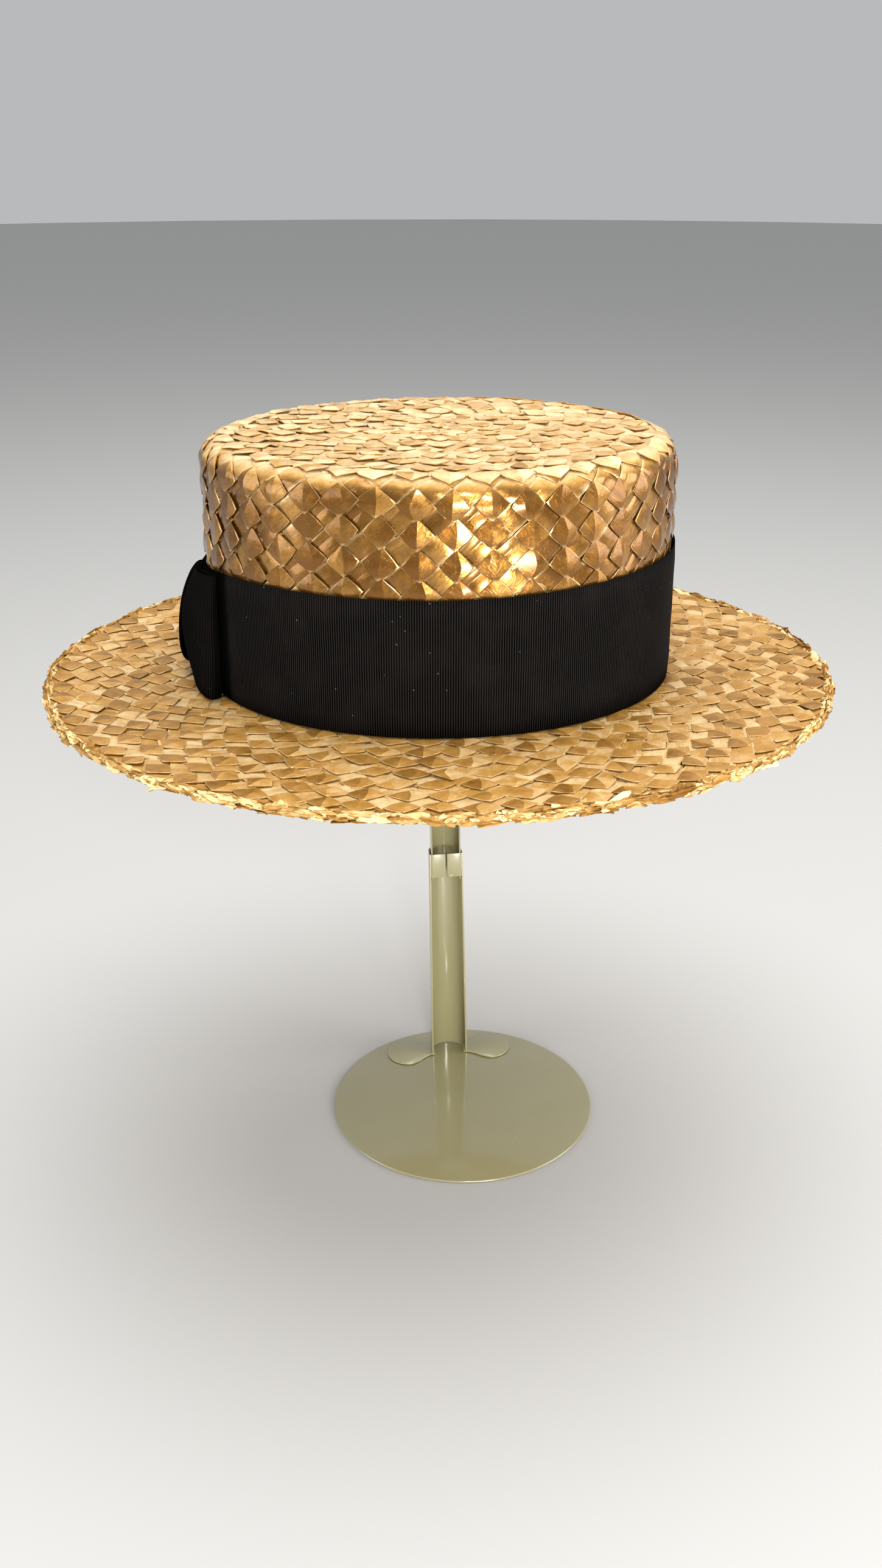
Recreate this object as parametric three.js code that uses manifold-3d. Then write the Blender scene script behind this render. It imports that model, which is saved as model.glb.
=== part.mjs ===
// A straw boater on a sheet-metal display stand, in millimetres, +Z up.
// The hat's long axis lies along X, its bow sits at the -X end, and the origin is on the
// surface that the stand rests on, straight below the middle of the hat.
import * as THREE from "three";
import { mergeVertices } from "three/addons/utils/BufferGeometryUtils.js";
import Module from "manifold-3d";

const wasm = await Module();
wasm.setup();

// Hat: driving sizes.
const crownLength = 192; // outside of the straw wall, front of the head to back
const crownWidth = 170; // outside of the straw wall, side to side
const crownHeight = 101; // from the brim's upper face to the tip
const brimWidth = 71;
const brimHeight = 225; // upper face of the brim above the table
const strawWall = 2.2; // doubled plait, without the raised lip of each row
const plaitPitch = 11.4; // visible width of one sewn row of plait on the crown
const brimPitch = 9.9; // the brim's rows are sewn closer
const firstSideRow = 15.6; // from the tip down to the lower edge of the first row on the side
const plaitLip = 0.9; // how far a row's edge stands over the next row
const shoulderRadius = 8;
const shoulderSteps = 3;
const pieceGap = 0.3; // clearance between neighbouring pieces
const aroundSteps = 60;

// Ribbon: driving sizes.
const bandHeight = 57;
const ribbonWall = 1;
const bowTurnRadius = 88; // mean radius of the band where the bow lies
const knotHalfWidth = 7;

// Stand: driving sizes.
const standOffset = { x: 11, y: -4, turn: 0.082 }; // base centre from the hat's centre
const baseDiameter = 125;
const sheetWall = 1.2;
const postBack = 52; // back of the post from the base centre
const postDepth = 12.4;
const postWidth = 16.8;
const claspLow = 103.5; // lower and upper edges of the two folded tabs
const claspHigh = 116;
const claspSeam = 0.8;
const slideClearance = 0.35; // all round, between the sliding strip and the post
const headDiameter = 112;

const crownSideTop = brimHeight + pieceGap;
const crownTop = brimHeight + crownHeight;
const meanRadius = (crownLength + crownWidth) / 4;
const bandInner = meanRadius + plaitLip + pieceGap;
const bandLow = brimHeight + plaitLip + pieceGap;
const bandHigh = bandLow + bandHeight;

const straw = new THREE.MeshStandardMaterial({ color: 0xc89a56, roughness: 0.42, metalness: 0 });
const ribbon = new THREE.MeshStandardMaterial({ color: 0x1b1918, roughness: 0.85, metalness: 0 });
const paint = new THREE.MeshStandardMaterial({ color: 0x98926c, roughness: 0.35, metalness: 0.1 });

// Names a geometry's mesh, so that every sub-part is one named node.
function piece(name, geometry, material) {
  const mesh = new THREE.Mesh(geometry, material);
  mesh.name = name;
  return mesh;
}

// Turns a round shape of the hat's mean radius into the hat's oval. Inside that radius the rings
// are similar ovals, and outside it they keep their distance, so the brim has one width all round.
function ovalise(geometry) {
  const place = geometry.attributes.position;
  for (let i = 0; i < place.count; i += 1) {
    const x = place.getX(i);
    const y = place.getY(i);
    const radius = Math.hypot(x, y);
    if (radius === 0) continue;
    const share = Math.min(1, radius / meanRadius);
    place.setX(i, (x / radius) * (radius + (crownLength / 2 - meanRadius) * share));
    place.setY(i, (y / radius) * (radius + (crownWidth / 2 - meanRadius) * share));
  }
  return geometry;
}

// Spins a profile of { r, z } about the Z axis.
function spun(profile, steps = aroundSteps) {
  const points = profile.map(({ r, z }) => new THREE.Vector2(r, z));
  return new THREE.LatheGeometry(points, steps).rotateX(Math.PI / 2);
}

// Hat: crown and brim.

// The crown's tip: rows of plait, each with its outer edge raised over the next.
function tipRows() {
  const flatReach = meanRadius - shoulderRadius;
  const rows = Math.round(flatReach / plaitPitch);
  const profile = [{ r: 0, z: crownTop - plaitLip }];
  for (let row = 1; row <= rows; row += 1) {
    const r = (flatReach * row) / rows;
    profile.push({ r, z: crownTop });
    if (row < rows) profile.push({ r: r + pieceGap, z: crownTop - plaitLip });
  }
  return profile;
}

// The quarter round between tip and side.
function shoulder() {
  const profile = [];
  for (let step = 1; step <= shoulderSteps; step += 1) {
    const turn = (Math.PI / 2) * (step / shoulderSteps);
    profile.push({
      r: meanRadius - shoulderRadius + shoulderRadius * Math.sin(turn),
      z: crownTop - shoulderRadius + shoulderRadius * Math.cos(turn),
    });
  }
  return profile;
}

// The crown's side: the lower edge of each row stands out over the next, also under the ribbon.
function sideRows() {
  const profile = [];
  for (let z = crownTop - firstSideRow; z > bandLow + plaitPitch / 2; z -= plaitPitch) {
    profile.push({ r: meanRadius + plaitLip, z });
    profile.push({ r: meanRadius, z: z - pieceGap });
  }
  return profile;
}

function crown() {
  const inside = meanRadius - strawWall;
  const insideTop = crownTop - plaitLip - strawWall;
  return ovalise(
    spun([
      { r: 0, z: insideTop },
      { r: inside - shoulderRadius, z: insideTop },
      { r: inside - shoulderRadius * 0.3, z: insideTop - shoulderRadius * 0.3 },
      { r: inside, z: insideTop - shoulderRadius },
      { r: inside, z: crownSideTop },
      { r: meanRadius, z: crownSideTop },
      ...sideRows().reverse(),
      ...shoulder().reverse(),
      ...tipRows().reverse(),
    ]),
  );
}

// The brim runs in under the crown's wall. Its rows are raised at their outer edges, and the last
// row is doubled, which makes the rim thicker than the rest.
function brim() {
  const inner = meanRadius - strawWall;
  const outer = meanRadius + brimWidth;
  const underside = brimHeight - strawWall;
  const rows = Math.round(brimWidth / brimPitch);
  const profile = [
    { r: inner, z: underside },
    { r: outer - brimPitch, z: underside },
    { r: outer - brimPitch / 2, z: underside - plaitLip },
    { r: outer, z: underside },
  ];
  for (let row = rows; row >= 1; row -= 1) {
    const r = meanRadius + (brimWidth * row) / rows;
    profile.push({ r, z: brimHeight + plaitLip });
    profile.push({ r: r - brimWidth / rows + pieceGap, z: brimHeight });
  }
  profile.push({ r: inner, z: brimHeight }, profile[0]);
  return ovalise(spun(profile));
}

// Ribbon: the band and its bow.

function hatBand() {
  const outer = bandInner + ribbonWall;
  return ovalise(
    spun([
      { r: bandInner, z: bandLow },
      { r: outer, z: bandLow },
      { r: outer, z: bandHigh },
      { r: bandInner, z: bandHigh },
      { r: bandInner, z: bandLow },
    ]),
  );
}

// A point beside the band: along is measured round the band from the bow's middle, towards -Y,
// off is the distance out from the ribbon, and z is the height.
function besideBand(along, off, z) {
  const turn = Math.PI + along / bowTurnRadius;
  const grow = bandInner + ribbonWall - meanRadius;
  const halfLength = crownLength / 2 + grow;
  const halfWidth = crownWidth / 2 + grow;
  const normal = new THREE.Vector2(Math.cos(turn) / halfLength, Math.sin(turn) / halfWidth).normalize();
  return new THREE.Vector3(
    halfLength * Math.cos(turn) + normal.x * off,
    halfWidth * Math.sin(turn) + normal.y * off,
    z,
  );
}

// The value of a named column part-way down a table.
function columnAt(table, column, share) {
  const at = share * (table.length - 1);
  const row = Math.min(table.length - 2, Math.floor(at));
  return THREE.MathUtils.lerp(table[row][column], table[row + 1][column], at - row);
}

// A strip of ribbon that follows a table of folds, a row for each. Across is from 0 at the strip's
// first edge to 1 at its second, side is from -0.5 to 0.5 through the wall.
function ribbonStrip(folds, acrossSteps, place) {
  const strip = new THREE.BoxGeometry(1, 1, 1, folds.length - 1, acrossSteps, 1);
  const point = strip.attributes.position;
  for (let i = 0; i < point.count; i += 1) {
    const at = place(point.getX(i) + 0.5, point.getY(i) + 0.5, point.getZ(i) * ribbonWall);
    point.setXYZ(i, at.x, at.y, at.z);
  }
  return strip;
}

// One loop of the bow: out along the band, round the fold, and back to the knot in front. low and
// high are the ribbon's edges above the band's lower edge, and swell is how far its middle bulges.
const loopFolds = [
  { along: 2.0, off: 1.0, low: 15.0, high: 50.0, swell: 0.0 },
  { along: 14.0, off: 1.1, low: 9.8, high: 52.6, swell: 0.0 },
  { along: 26.0, off: 1.1, low: 5.2, high: 54.6, swell: 0.0 },
  { along: 37.0, off: 1.0, low: 0.9, high: 56.4, swell: 0.0 },
  { along: 41.6, off: 1.9, low: 0.7, high: 56.6, swell: 0.1 },
  { along: 43.0, off: 3.6, low: 0.6, high: 56.7, swell: 0.2 },
  { along: 41.6, off: 5.3, low: 0.7, high: 56.6, swell: 0.4 },
  { along: 37.0, off: 6.2, low: 1.2, high: 56.2, swell: 0.9 },
  { along: 28.0, off: 6.6, low: 4.4, high: 55.0, swell: 1.9 },
  { along: 18.0, off: 6.0, low: 8.2, high: 53.2, swell: 2.3 },
  { along: 10.0, off: 4.8, low: 12.4, high: 51.2, swell: 1.9 },
  { along: 2.0, off: 3.6, low: 15.0, high: 50.0, swell: 1.2 },
];
const loopAcrossSteps = 6;

function bowLoop(hand) {
  const middle = (share, across) => {
    const swell = columnAt(loopFolds, "swell", share) * Math.sin(Math.PI * across);
    return new THREE.Vector2(columnAt(loopFolds, "along", share), columnAt(loopFolds, "off", share) + swell);
  };
  const nudge = 0.02; // small step along the strip, to find its direction
  return ribbonStrip(loopFolds, loopAcrossSteps, (share, across, side) => {
    const before = middle(Math.max(0, share - nudge), across);
    const after = middle(Math.min(1, share + nudge), across);
    const run = after.sub(before).normalize();
    const at = middle(share, across);
    const low = columnAt(loopFolds, "low", share);
    const high = columnAt(loopFolds, "high", share);
    return besideBand(
      hand * (at.x - run.y * side),
      at.y + run.x * side,
      bandLow + THREE.MathUtils.lerp(low, high, hand > 0 ? across : 1 - across),
    );
  });
}

// The knot: a strip that goes over the loops from top to bottom. up is above the band's lower edge.
const knotFolds = [
  { up: 54.2, off: 0.9 },
  { up: 54.0, off: 4.6 },
  { up: 50.6, off: 7.4 },
  { up: 42.0, off: 8.6 },
  { up: 32.0, off: 9.0 },
  { up: 22.0, off: 8.2 },
  { up: 14.0, off: 6.8 },
  { up: 11.2, off: 4.2 },
  { up: 11.0, off: 0.9 },
];
const knotAcrossSteps = 4;
const knotCrown = 0.6; // the strip's middle stands this far over its edges

function bowKnot() {
  const nudge = 0.02;
  const middle = (share) => new THREE.Vector2(columnAt(knotFolds, "off", share), columnAt(knotFolds, "up", share));
  return ribbonStrip(knotFolds, knotAcrossSteps, (share, across, side) => {
    const run = middle(Math.min(1, share + nudge)).sub(middle(Math.max(0, share - nudge))).normalize();
    const at = middle(share);
    const rise = knotCrown * Math.sin(Math.PI * across) * Math.sin(Math.PI * share);
    return besideBand(
      knotHalfWidth * (2 * across - 1),
      at.x - run.y * side + rise,
      bandLow + at.y + run.x * side,
    );
  });
}

// Stand: base, post, sliding strip and head.

// A closed geometry as a solid that can be joined to others.
function solid(geometry) {
  const bare = geometry.index ? geometry.toNonIndexed() : geometry.clone();
  bare.deleteAttribute("normal");
  bare.deleteAttribute("uv");
  const merged = mergeVertices(bare, 1e-4);
  return new wasm.Manifold(
    new wasm.Mesh({
      numProp: 3,
      vertProperties: merged.attributes.position.array,
      triVerts: new Uint32Array(merged.index.array),
    }),
  );
}

function joined(geometries) {
  const made = geometries.map(solid).reduce((all, next) => all.add(next)).getMesh();
  const geometry = new THREE.BufferGeometry();
  geometry.setAttribute("position", new THREE.BufferAttribute(made.vertProperties, 3));
  geometry.setIndex(new THREE.BufferAttribute(made.triVerts, 1));
  return geometry;
}

function raised(shape, depth, z, curveSegments = 8) {
  return new THREE.ExtrudeGeometry(shape, { depth, bevelEnabled: false, curveSegments }).translate(0, 0, z);
}

function disc(diameter, thickness, z) {
  const edge = thickness / 4;
  const r = diameter / 2;
  return spun([
    { r: 0, z },
    { r: r - edge, z },
    { r, z: z + edge },
    { r, z: z + thickness - edge },
    { r: r - edge, z: z + thickness },
    { r: 0, z: z + thickness },
  ]);
}

// A channel's section: two straight sides and a half-round back, open towards -Y.
function channelSection(width, front, back, wall) {
  const outside = width / 2;
  const inside = outside - wall;
  const centre = back - outside;
  const shape = new THREE.Shape();
  shape.moveTo(outside, front);
  shape.lineTo(outside, centre);
  shape.absarc(0, centre, outside, 0, Math.PI, false);
  shape.lineTo(-outside, front);
  shape.lineTo(-inside, front);
  shape.lineTo(-inside, centre);
  shape.absarc(0, centre, inside, Math.PI, 0, true);
  shape.lineTo(inside, front);
  return shape;
}

// A rounded ear that is folded out from the post's side and lies flat. hand is 1 at +X.
function ear(hand, side, front, back) {
  const lobe = 11;
  const reach = side + 12;
  const middle = (front + back) / 2 - 2;
  const rootBack = back - 4;
  const shape = new THREE.Shape();
  shape.moveTo(hand * (side - sheetWall), front + 0.5);
  shape.lineTo(hand * side, front + 0.5);
  shape.bezierCurveTo(
    hand * (side + 4), front, hand * (reach - 7), middle - lobe + 1, hand * reach, middle - lobe,
  );
  shape.absarc(hand * reach, middle, lobe, -Math.PI / 2, Math.PI / 2, hand < 0);
  shape.lineTo(hand * side, rootBack);
  shape.lineTo(hand * (side - sheetWall), rootBack);
  return shape;
}

function standPost() {
  const foot = sheetWall + pieceGap;
  const front = postBack - postDepth;
  const side = postWidth / 2;
  const parts = [raised(channelSection(postWidth, front, postBack, sheetWall), claspHigh - foot, foot)];
  for (const hand of [-1, 1]) {
    parts.push(raised(ear(hand, side, front, postBack), sheetWall, foot));
    const tabWidth = side - claspSeam / 2;
    const tab = new THREE.BoxGeometry(tabWidth, sheetWall, claspHigh - claspLow);
    parts.push(
      tab.translate(
        hand * (claspSeam / 2 + tabWidth / 2),
        front - sheetWall / 2 + 0.2,
        (claspHigh + claspLow) / 2,
      ),
    );
  }
  return joined(parts);
}

function standSlide() {
  const low = claspLow - 2;
  const high = crownTop - plaitLip - strawWall - 2 * pieceGap - sheetWall;
  const inset = sheetWall + slideClearance;
  const width = postWidth - 2 * inset;
  const front = postBack - postDepth + 0.2 + pieceGap;
  const back = postBack - inset;
  const parts = [raised(channelSection(width, front, back, sheetWall), high - low, low)];
  for (const hand of [-1, 1]) {
    parts.push(raised(ear(hand, width / 2, front, back), sheetWall, high - sheetWall));
  }
  return joined(parts);
}

function standHead() {
  return disc(headDiameter, sheetWall, crownTop - plaitLip - strawWall - pieceGap - sheetWall);
}

const hat = new THREE.Group();
hat.add(piece("crown", crown(), straw));
hat.add(piece("brim", brim(), straw));
hat.add(piece("hat_band", hatBand(), ribbon));
hat.add(piece("bow_loop_front", bowLoop(1), ribbon));
hat.add(piece("bow_loop_rear", bowLoop(-1), ribbon));
hat.add(piece("bow_knot", bowKnot(), ribbon));

const stand = new THREE.Group();
stand.position.set(standOffset.x, standOffset.y, 0);
stand.rotation.z = standOffset.turn;
stand.add(piece("stand_base", disc(baseDiameter, sheetWall, 0), paint));
stand.add(piece("stand_post", standPost(), paint));
stand.add(piece("stand_slide", standSlide(), paint));

const boater = new THREE.Group();
boater.add(hat, stand, piece("stand_head", standHead(), paint));

export default boater;
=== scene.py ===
"""Dresses a straw boater and its display stand: plaited straw, grosgrain ribbon and painted sheet metal."""

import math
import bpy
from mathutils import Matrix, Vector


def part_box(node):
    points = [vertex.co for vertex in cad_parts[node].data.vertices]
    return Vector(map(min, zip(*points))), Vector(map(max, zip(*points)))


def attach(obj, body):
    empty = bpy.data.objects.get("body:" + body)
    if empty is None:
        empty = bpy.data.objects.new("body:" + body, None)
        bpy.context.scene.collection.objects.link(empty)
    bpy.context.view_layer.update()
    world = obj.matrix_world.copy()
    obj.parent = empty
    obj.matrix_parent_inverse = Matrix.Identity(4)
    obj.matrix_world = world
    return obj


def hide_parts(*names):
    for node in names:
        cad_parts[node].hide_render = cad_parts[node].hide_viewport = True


bl_info = {
    "name": "Straw boater",
    "version": (1, 0, 0),
    "blender": (4, 5, 0),
    "location": "View3D > Sidebar > Boater",
    "description": "Makes the plait, ribbon and stand of a boater around its packed solids",
    "category": "Object",
}

from collections import namedtuple

import bmesh
import bpy
import numpy as np
from mathutils import Matrix, Vector

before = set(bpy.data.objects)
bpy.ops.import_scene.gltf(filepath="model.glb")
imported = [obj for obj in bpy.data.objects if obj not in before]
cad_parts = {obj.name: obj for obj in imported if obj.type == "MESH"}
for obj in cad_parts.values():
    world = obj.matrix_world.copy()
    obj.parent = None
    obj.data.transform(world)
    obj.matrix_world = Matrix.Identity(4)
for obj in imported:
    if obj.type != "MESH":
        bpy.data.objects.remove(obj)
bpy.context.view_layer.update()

MM = 0.001
BODY = "root"
FULL_TURN = 2 * math.pi
FRONT = -math.pi / 2

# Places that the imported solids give.
crown_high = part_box("crown")[1]
brim_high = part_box("brim")[1]
band_low, band_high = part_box("hat_band")
base_low, base_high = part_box("stand_base")
post_low, post_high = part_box("stand_post")
slide_low, slide_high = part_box("stand_slide")
head_low, head_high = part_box("stand_head")

# Distances between those solids' faces and the straw's own surface.
RIBBON_REACH = 2.2 * MM
ROW_LIP = 0.9 * MM

# The band's upper edge: how far it lies under its solid's, rises at one end and dips at the bow.
EDGE_DROP = 2.7 * MM
END_RISE = 2.0 * MM
BOW_DIP = 9.0 * MM
BOW_DIP_TURN = 0.30


def length(name, description, default):
    """A property in metres."""
    return bpy.props.FloatProperty(
        name=name, description=description, default=default, precision=5, subtype="DISTANCE", unit="LENGTH"
    )


def ratio(name, description, default):
    """A property without a unit."""
    return bpy.props.FloatProperty(name=name, description=description, default=default)


def colour(name, description, default):
    """A colour property, in linear values."""
    return bpy.props.FloatVectorProperty(
        name=name, description=description, default=default, size=4, min=0.0, max=1.0, subtype="COLOR"
    )


class HatSizes(bpy.types.PropertyGroup):
    """Sizes of the straw."""

    half_length: length("Half length", "Middle to straw, along the head", band_high.x - RIBBON_REACH)
    half_width: length("Half width", "Middle to straw, across the head", band_high.y - RIBBON_REACH)
    top: length("Top", "Height of the crown's tip", crown_high.z)
    brim_top: length("Brim", "Height of the brim's upper face", brim_high.z - ROW_LIP)
    rim: length("Rim", "From the middle to the brim's edge, along the head", brim_high.x)
    wall: length("Wall", "Thickness of the straw", 2.2 * MM)
    shoulder: length("Shoulder", "Radius between the crown's tip and side", 8.0 * MM)
    crown_pitch: length("Crown pitch", "Width of a row of plait on the crown", 11.4 * MM)
    brim_pitch: length("Brim pitch", "Width of a row of plait on the brim", 9.9 * MM)
    spacing: length("Spacing", "Distance between two points of the plait along a row", 13.9 * MM)
    ridge: length("Ridge", "Height of the fold down the middle of each point", 0.8 * MM)
    straw: length("Straw", "Thickness of one straw", 0.4 * MM)
    crumple: length("Crumple", "Unevenness of each straw", 0.07 * MM)
    seed: bpy.props.IntProperty(name="Seed", description="Start of the plait's random variation", default=7)

    @property
    def mean_radius(self):
        return (self.half_length + self.half_width) / 2

    @property
    def stretch(self):
        return (self.half_length - self.half_width) / 2

    @property
    def rim_radius(self):
        return self.rim - self.stretch


class RibbonSizes(bpy.types.PropertyGroup):
    """Sizes of the hat band and bow."""

    low: length("Low", "Height of the band's lower edge", band_low.z)
    width: length("Width", "Width of the ribbon", band_high.z - band_low.z)
    wall: length("Wall", "Thickness of the ribbon", 0.7 * MM)
    rib_pitch: length("Rib pitch", "Distance between two ribs of the weave", 0.91 * MM)
    rib_depth: length("Rib depth", "Height of a rib over the groove beside it", 0.22 * MM)
    bow_radius: length("Bow radius", "Mean radius of the band where the bow lies", 88.0 * MM)


class StandSizes(bpy.types.PropertyGroup):
    """Sizes of the stand."""

    sheet: length("Sheet", "Thickness of the base", base_high.z - base_low.z)
    strip: length("Strip", "Thickness of the post and slide", 0.7 * MM)
    base_radius: length("Base radius", "Radius of the round base", (base_high.x - base_low.x) / 2)
    post_width: length("Post width", "Outside width of the post", 16.8 * MM)
    post_depth: length("Post depth", "Outside depth of the post", 12.4 * MM)
    post_back: length("Post back", "From the base's middle to the back of the post", 52.0 * MM)
    clasp_low: length("Clasp low", "Lower edge of the two folded tabs", 103.5 * MM)
    clasp_high: length("Clasp high", "Upper edge of the two folded tabs", post_high.z)
    clasp_seam: length("Clasp seam", "Gap between the two tabs", 0.8 * MM)
    turn: bpy.props.FloatProperty(
        name="Turn",
        description="Turn of the stand under the hat",
        default=0.082,
        subtype="ANGLE",
        unit="ROTATION",
    )
    flare: ratio("Flare", "How much wider the post is at its foot", 0.12)
    lean: ratio("Lean", "How far the post leans for each unit up", 0.018)


class Finishes(bpy.types.PropertyGroup):
    """Colours of the straw, ribbon and paint."""

    straw_dark: colour("Dark straw", "Darkest straw", (0.20, 0.082, 0.008, 1.0))
    straw_middle: colour("Straw", "Most of the straw", (0.475, 0.25, 0.058, 1.0))
    # Pale straw also paints the highlights along the tiles' edges.
    straw_pale: colour("Pale straw", "Lightest straw and worn edges", (0.83, 0.66, 0.375, 1.0))
    straw_raw: colour("Raw straw", "Broken straw at the rim", (0.92, 0.74, 0.38, 1.0))
    # The ribbon is one black dye: the lighter colour on its rib tops is a painted sheen, the darker one in
    # its grooves painted shade.
    ribbon: colour("Ribbon", "Tops of the ribs", (0.022, 0.0202, 0.0188, 1.0))
    groove: colour("Groove", "Grooves between the ribs", (0.0018, 0.0017, 0.0017, 1.0))
    paint: colour("Paint", "Paint of the stand", (0.290, 0.270, 0.140, 1.0))
    floor: colour("Floor", "Floor under the stand", (0.495, 0.495, 0.485, 1.0))


# Meshes and pieces.


def mesh_of(bm, name):
    """A mesh from a bmesh, which is freed."""
    mesh = bpy.data.meshes.new(name)
    bm.to_mesh(mesh)
    bm.free()
    return mesh


def points_of(mesh):
    points = np.empty(len(mesh.vertices) * 3)
    mesh.vertices.foreach_get("co", points)
    return points.reshape(-1, 3)


def set_points(mesh, points):
    mesh.vertices.foreach_set("co", np.ascontiguousarray(points, dtype=np.float32).ravel())
    mesh.update()


def add_piece(mesh, slot, materials, *nodes):
    """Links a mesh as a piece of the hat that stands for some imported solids."""
    piece = bpy.data.objects.new(mesh.name, mesh)
    bpy.context.scene.collection.objects.link(piece)
    for material in materials:
        mesh.materials.append(material)
    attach(piece, BODY)
    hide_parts(*nodes)
    return piece


# The hat's surfaces. A profile gives a station's radius, its height and its outward direction.


def oval(hat, radius, turn):
    """Points of the hat's oval: similar ovals inside the crown's wall, and one width outside it."""
    widen = hat.stretch * np.minimum(1.0, radius / hat.mean_radius)
    return (radius + widen) * np.cos(turn), (radius - widen) * np.sin(turn)


def arc_radius(hat, radius, turn):
    """How far a point of the oval moves for each radian of turn."""
    widen = hat.stretch * np.minimum(1.0, radius / hat.mean_radius)
    return np.hypot((radius + widen) * np.sin(turn), (radius - widen) * np.cos(turn))


def crown_profile(flat, shoulder, top, station):
    bend = np.clip((station - flat) / shoulder, 0.0, math.pi / 2)
    below = np.maximum(0.0, station - flat - shoulder * math.pi / 2)
    radius = np.clip(station, 0.0, flat) + shoulder * np.sin(bend)
    height = top - shoulder + shoulder * np.cos(bend) - below
    return radius, height, np.sin(bend), np.cos(bend)


def crown_outside(hat, station):
    flat = hat.mean_radius - hat.shoulder
    return crown_profile(flat, hat.shoulder, hat.top - ROW_LIP, station)


def crown_inside(hat, station):
    flat = hat.mean_radius - hat.shoulder
    inner = hat.shoulder - hat.wall
    radius, height, out, up = crown_profile(flat, inner, hat.top - ROW_LIP - hat.wall, station)
    return radius, height, -out, -up


def brim_upside(hat, station):
    level = np.zeros_like(station)
    return station, level + hat.brim_top, level, level + 1.0


def brim_underside(hat, station):
    level = np.zeros_like(station)
    return station, level + hat.brim_top - hat.wall, level, level - 1.0


def band_top(turn):
    """Height of the band's upper edge, which rises a little at one end and dips towards the bow."""
    from_bow = np.abs(np.mod(turn, FULL_TURN) - math.pi)
    rise = END_RISE * np.maximum(0.0, np.cos(turn))
    return band_high.z - EDGE_DROP + rise - BOW_DIP * np.exp(-from_bow / BOW_DIP_TURN)


def on_surface(hat, profile, station, turn, lift):
    """Points at a lift over a surface of the hat."""
    radius, height, out, up = profile(hat, station)
    x, y = oval(hat, np.maximum(radius + out * lift, 0.0), turn)
    return np.stack([x, y, height + up * lift], axis=1)


# Straw tiles. A tile lies in a square of 1 by 1, its point at the bottom, with its thickness in metres.

TENT_ROWS = ((0.0, 0.05), (0.15, 0.36), (0.33, 0.74), (0.50, 1.0), (0.72, 0.64), (1.0, 0.08))
SCALLOP_ROWS = ((0.0, 0.05), (0.10, 0.22), (0.24, 0.52), (0.40, 0.86), (0.62, 1.06), (1.0, 1.0))
TENT_FOLDS = {
    "tent": ((-1.0, 0.0), (-0.89, 0.28), (0.0, 1.0), (0.89, 0.28), (1.0, 0.0)),
    "tent_left": ((-1.0, 0.0), (-0.89, 0.3), (-0.28, 0.9), (0.89, 0.28), (1.0, 0.0)),
    "tent_right": ((-1.0, 0.0), (-0.89, 0.28), (0.28, 0.9), (0.89, 0.3), (1.0, 0.0)),
    "tent_pleat": ((-1.0, 0.0), (-0.89, 0.28), (-0.34, 0.72), (0.1, 0.95), (0.89, 0.26), (1.0, 0.0)),
    "tent_flat": ((-1.0, 0.0), (-0.89, 0.26), (0.1, 0.45), (0.89, 0.26), (1.0, 0.0)),
}
CREASE_COLUMN = 0.9
FLAT_STEPS = 4
FLAT_SHARES = (-0.5, -0.3, 0.0, 0.3, 0.5)
SPLIT_SHARES = (-0.5, -0.36, 0.1, 0.15, 0.2, 0.4, 0.5)
SPLIT_ROW = 3
SPLIT_DEPTH = 0.3 * MM
ARCH_DEPTH = 0.5 * MM
CREST_DEPTH = 0.12 * MM

# The edge attribute's value on a tile's folded wall, which the material darkens as painted shade in the gaps
# between tiles.
WALL_MARK = -5.0


def verts_of(extruded):
    return [part for part in extruded["geom"] if isinstance(part, bmesh.types.BMVert)]


def give_wall(bm, depth, edge_layer):
    """Folds a tile's open edges down by its thickness and closes it below."""
    rim = [edge for edge in bm.edges if edge.is_boundary]
    for vert in verts_of(bmesh.ops.extrude_edge_only(bm, edges=rim)):
        vert.co.z -= depth
        vert[edge_layer] = WALL_MARK
    foot = [edge for edge in bm.edges if edge.is_boundary]
    for edge in rim + foot:
        edge.smooth = False
    bmesh.ops.edgeloop_fill(bm, edges=foot)


def finish_tile(bm, name):
    for face in bm.faces:
        face.smooth = True
    bmesh.ops.recalc_face_normals(bm, faces=bm.faces)
    highest = max(bm.faces, key=lambda face: face.calc_center_median().z)
    if highest.normal.z < 0:
        bmesh.ops.reverse_faces(bm, faces=bm.faces)
    return mesh_of(bm, name)


def tent_tile(hat, folds, rows):
    """A point of the plait: a diamond or scallop with folds from its back to its point."""
    bm = bmesh.new()
    strand = bm.loops.layers.uv.new("strand")
    edge_layer = bm.verts.layers.float.new("edge")
    tone_layer = bm.faces.layers.float.new("tone")
    across = len(folds) - 1
    along = len(rows) - 1
    bmesh.ops.create_grid(bm, x_segments=across, y_segments=along, size=0.5)
    crest = max(height for _, height in folds)
    creases = set()
    for vert in bm.verts:
        column, height = folds[round((vert.co.x + 0.5) * across)]
        row = round((vert.co.y + 0.5) * along)
        tall, wide = rows[row]
        vert.co = (0.5 * wide * column, tall - 0.5, hat.ridge * height * min(1.0, 1.3 * wide))
        vert[edge_layer] = 1.0 if abs(column) == 1.0 or row == 0 else 0.0
        if abs(column) < CREASE_COLUMN:
            creases.add(vert)
    ridge = next(column for column, height in folds if height == crest)
    for face in bm.faces:
        middle = face.calc_center_median()
        half = 1.0 if middle.x > 0.5 * ridge * (1.0 - abs(2 * middle.y)) else -1.0
        face[tone_layer] = half
        for loop in face.loops:
            x, y, _ = loop.vert.co
            loop[strand].uv = (y + half * x, y - half * x)
    for edge in bm.edges:
        if creases.issuperset(edge.verts) and abs(edge.verts[0].co.y - edge.verts[1].co.y) > 0.05:
            edge.smooth = False
    give_wall(bm, hat.straw, edge_layer)
    return finish_tile(bm, "tent_tile")


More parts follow.
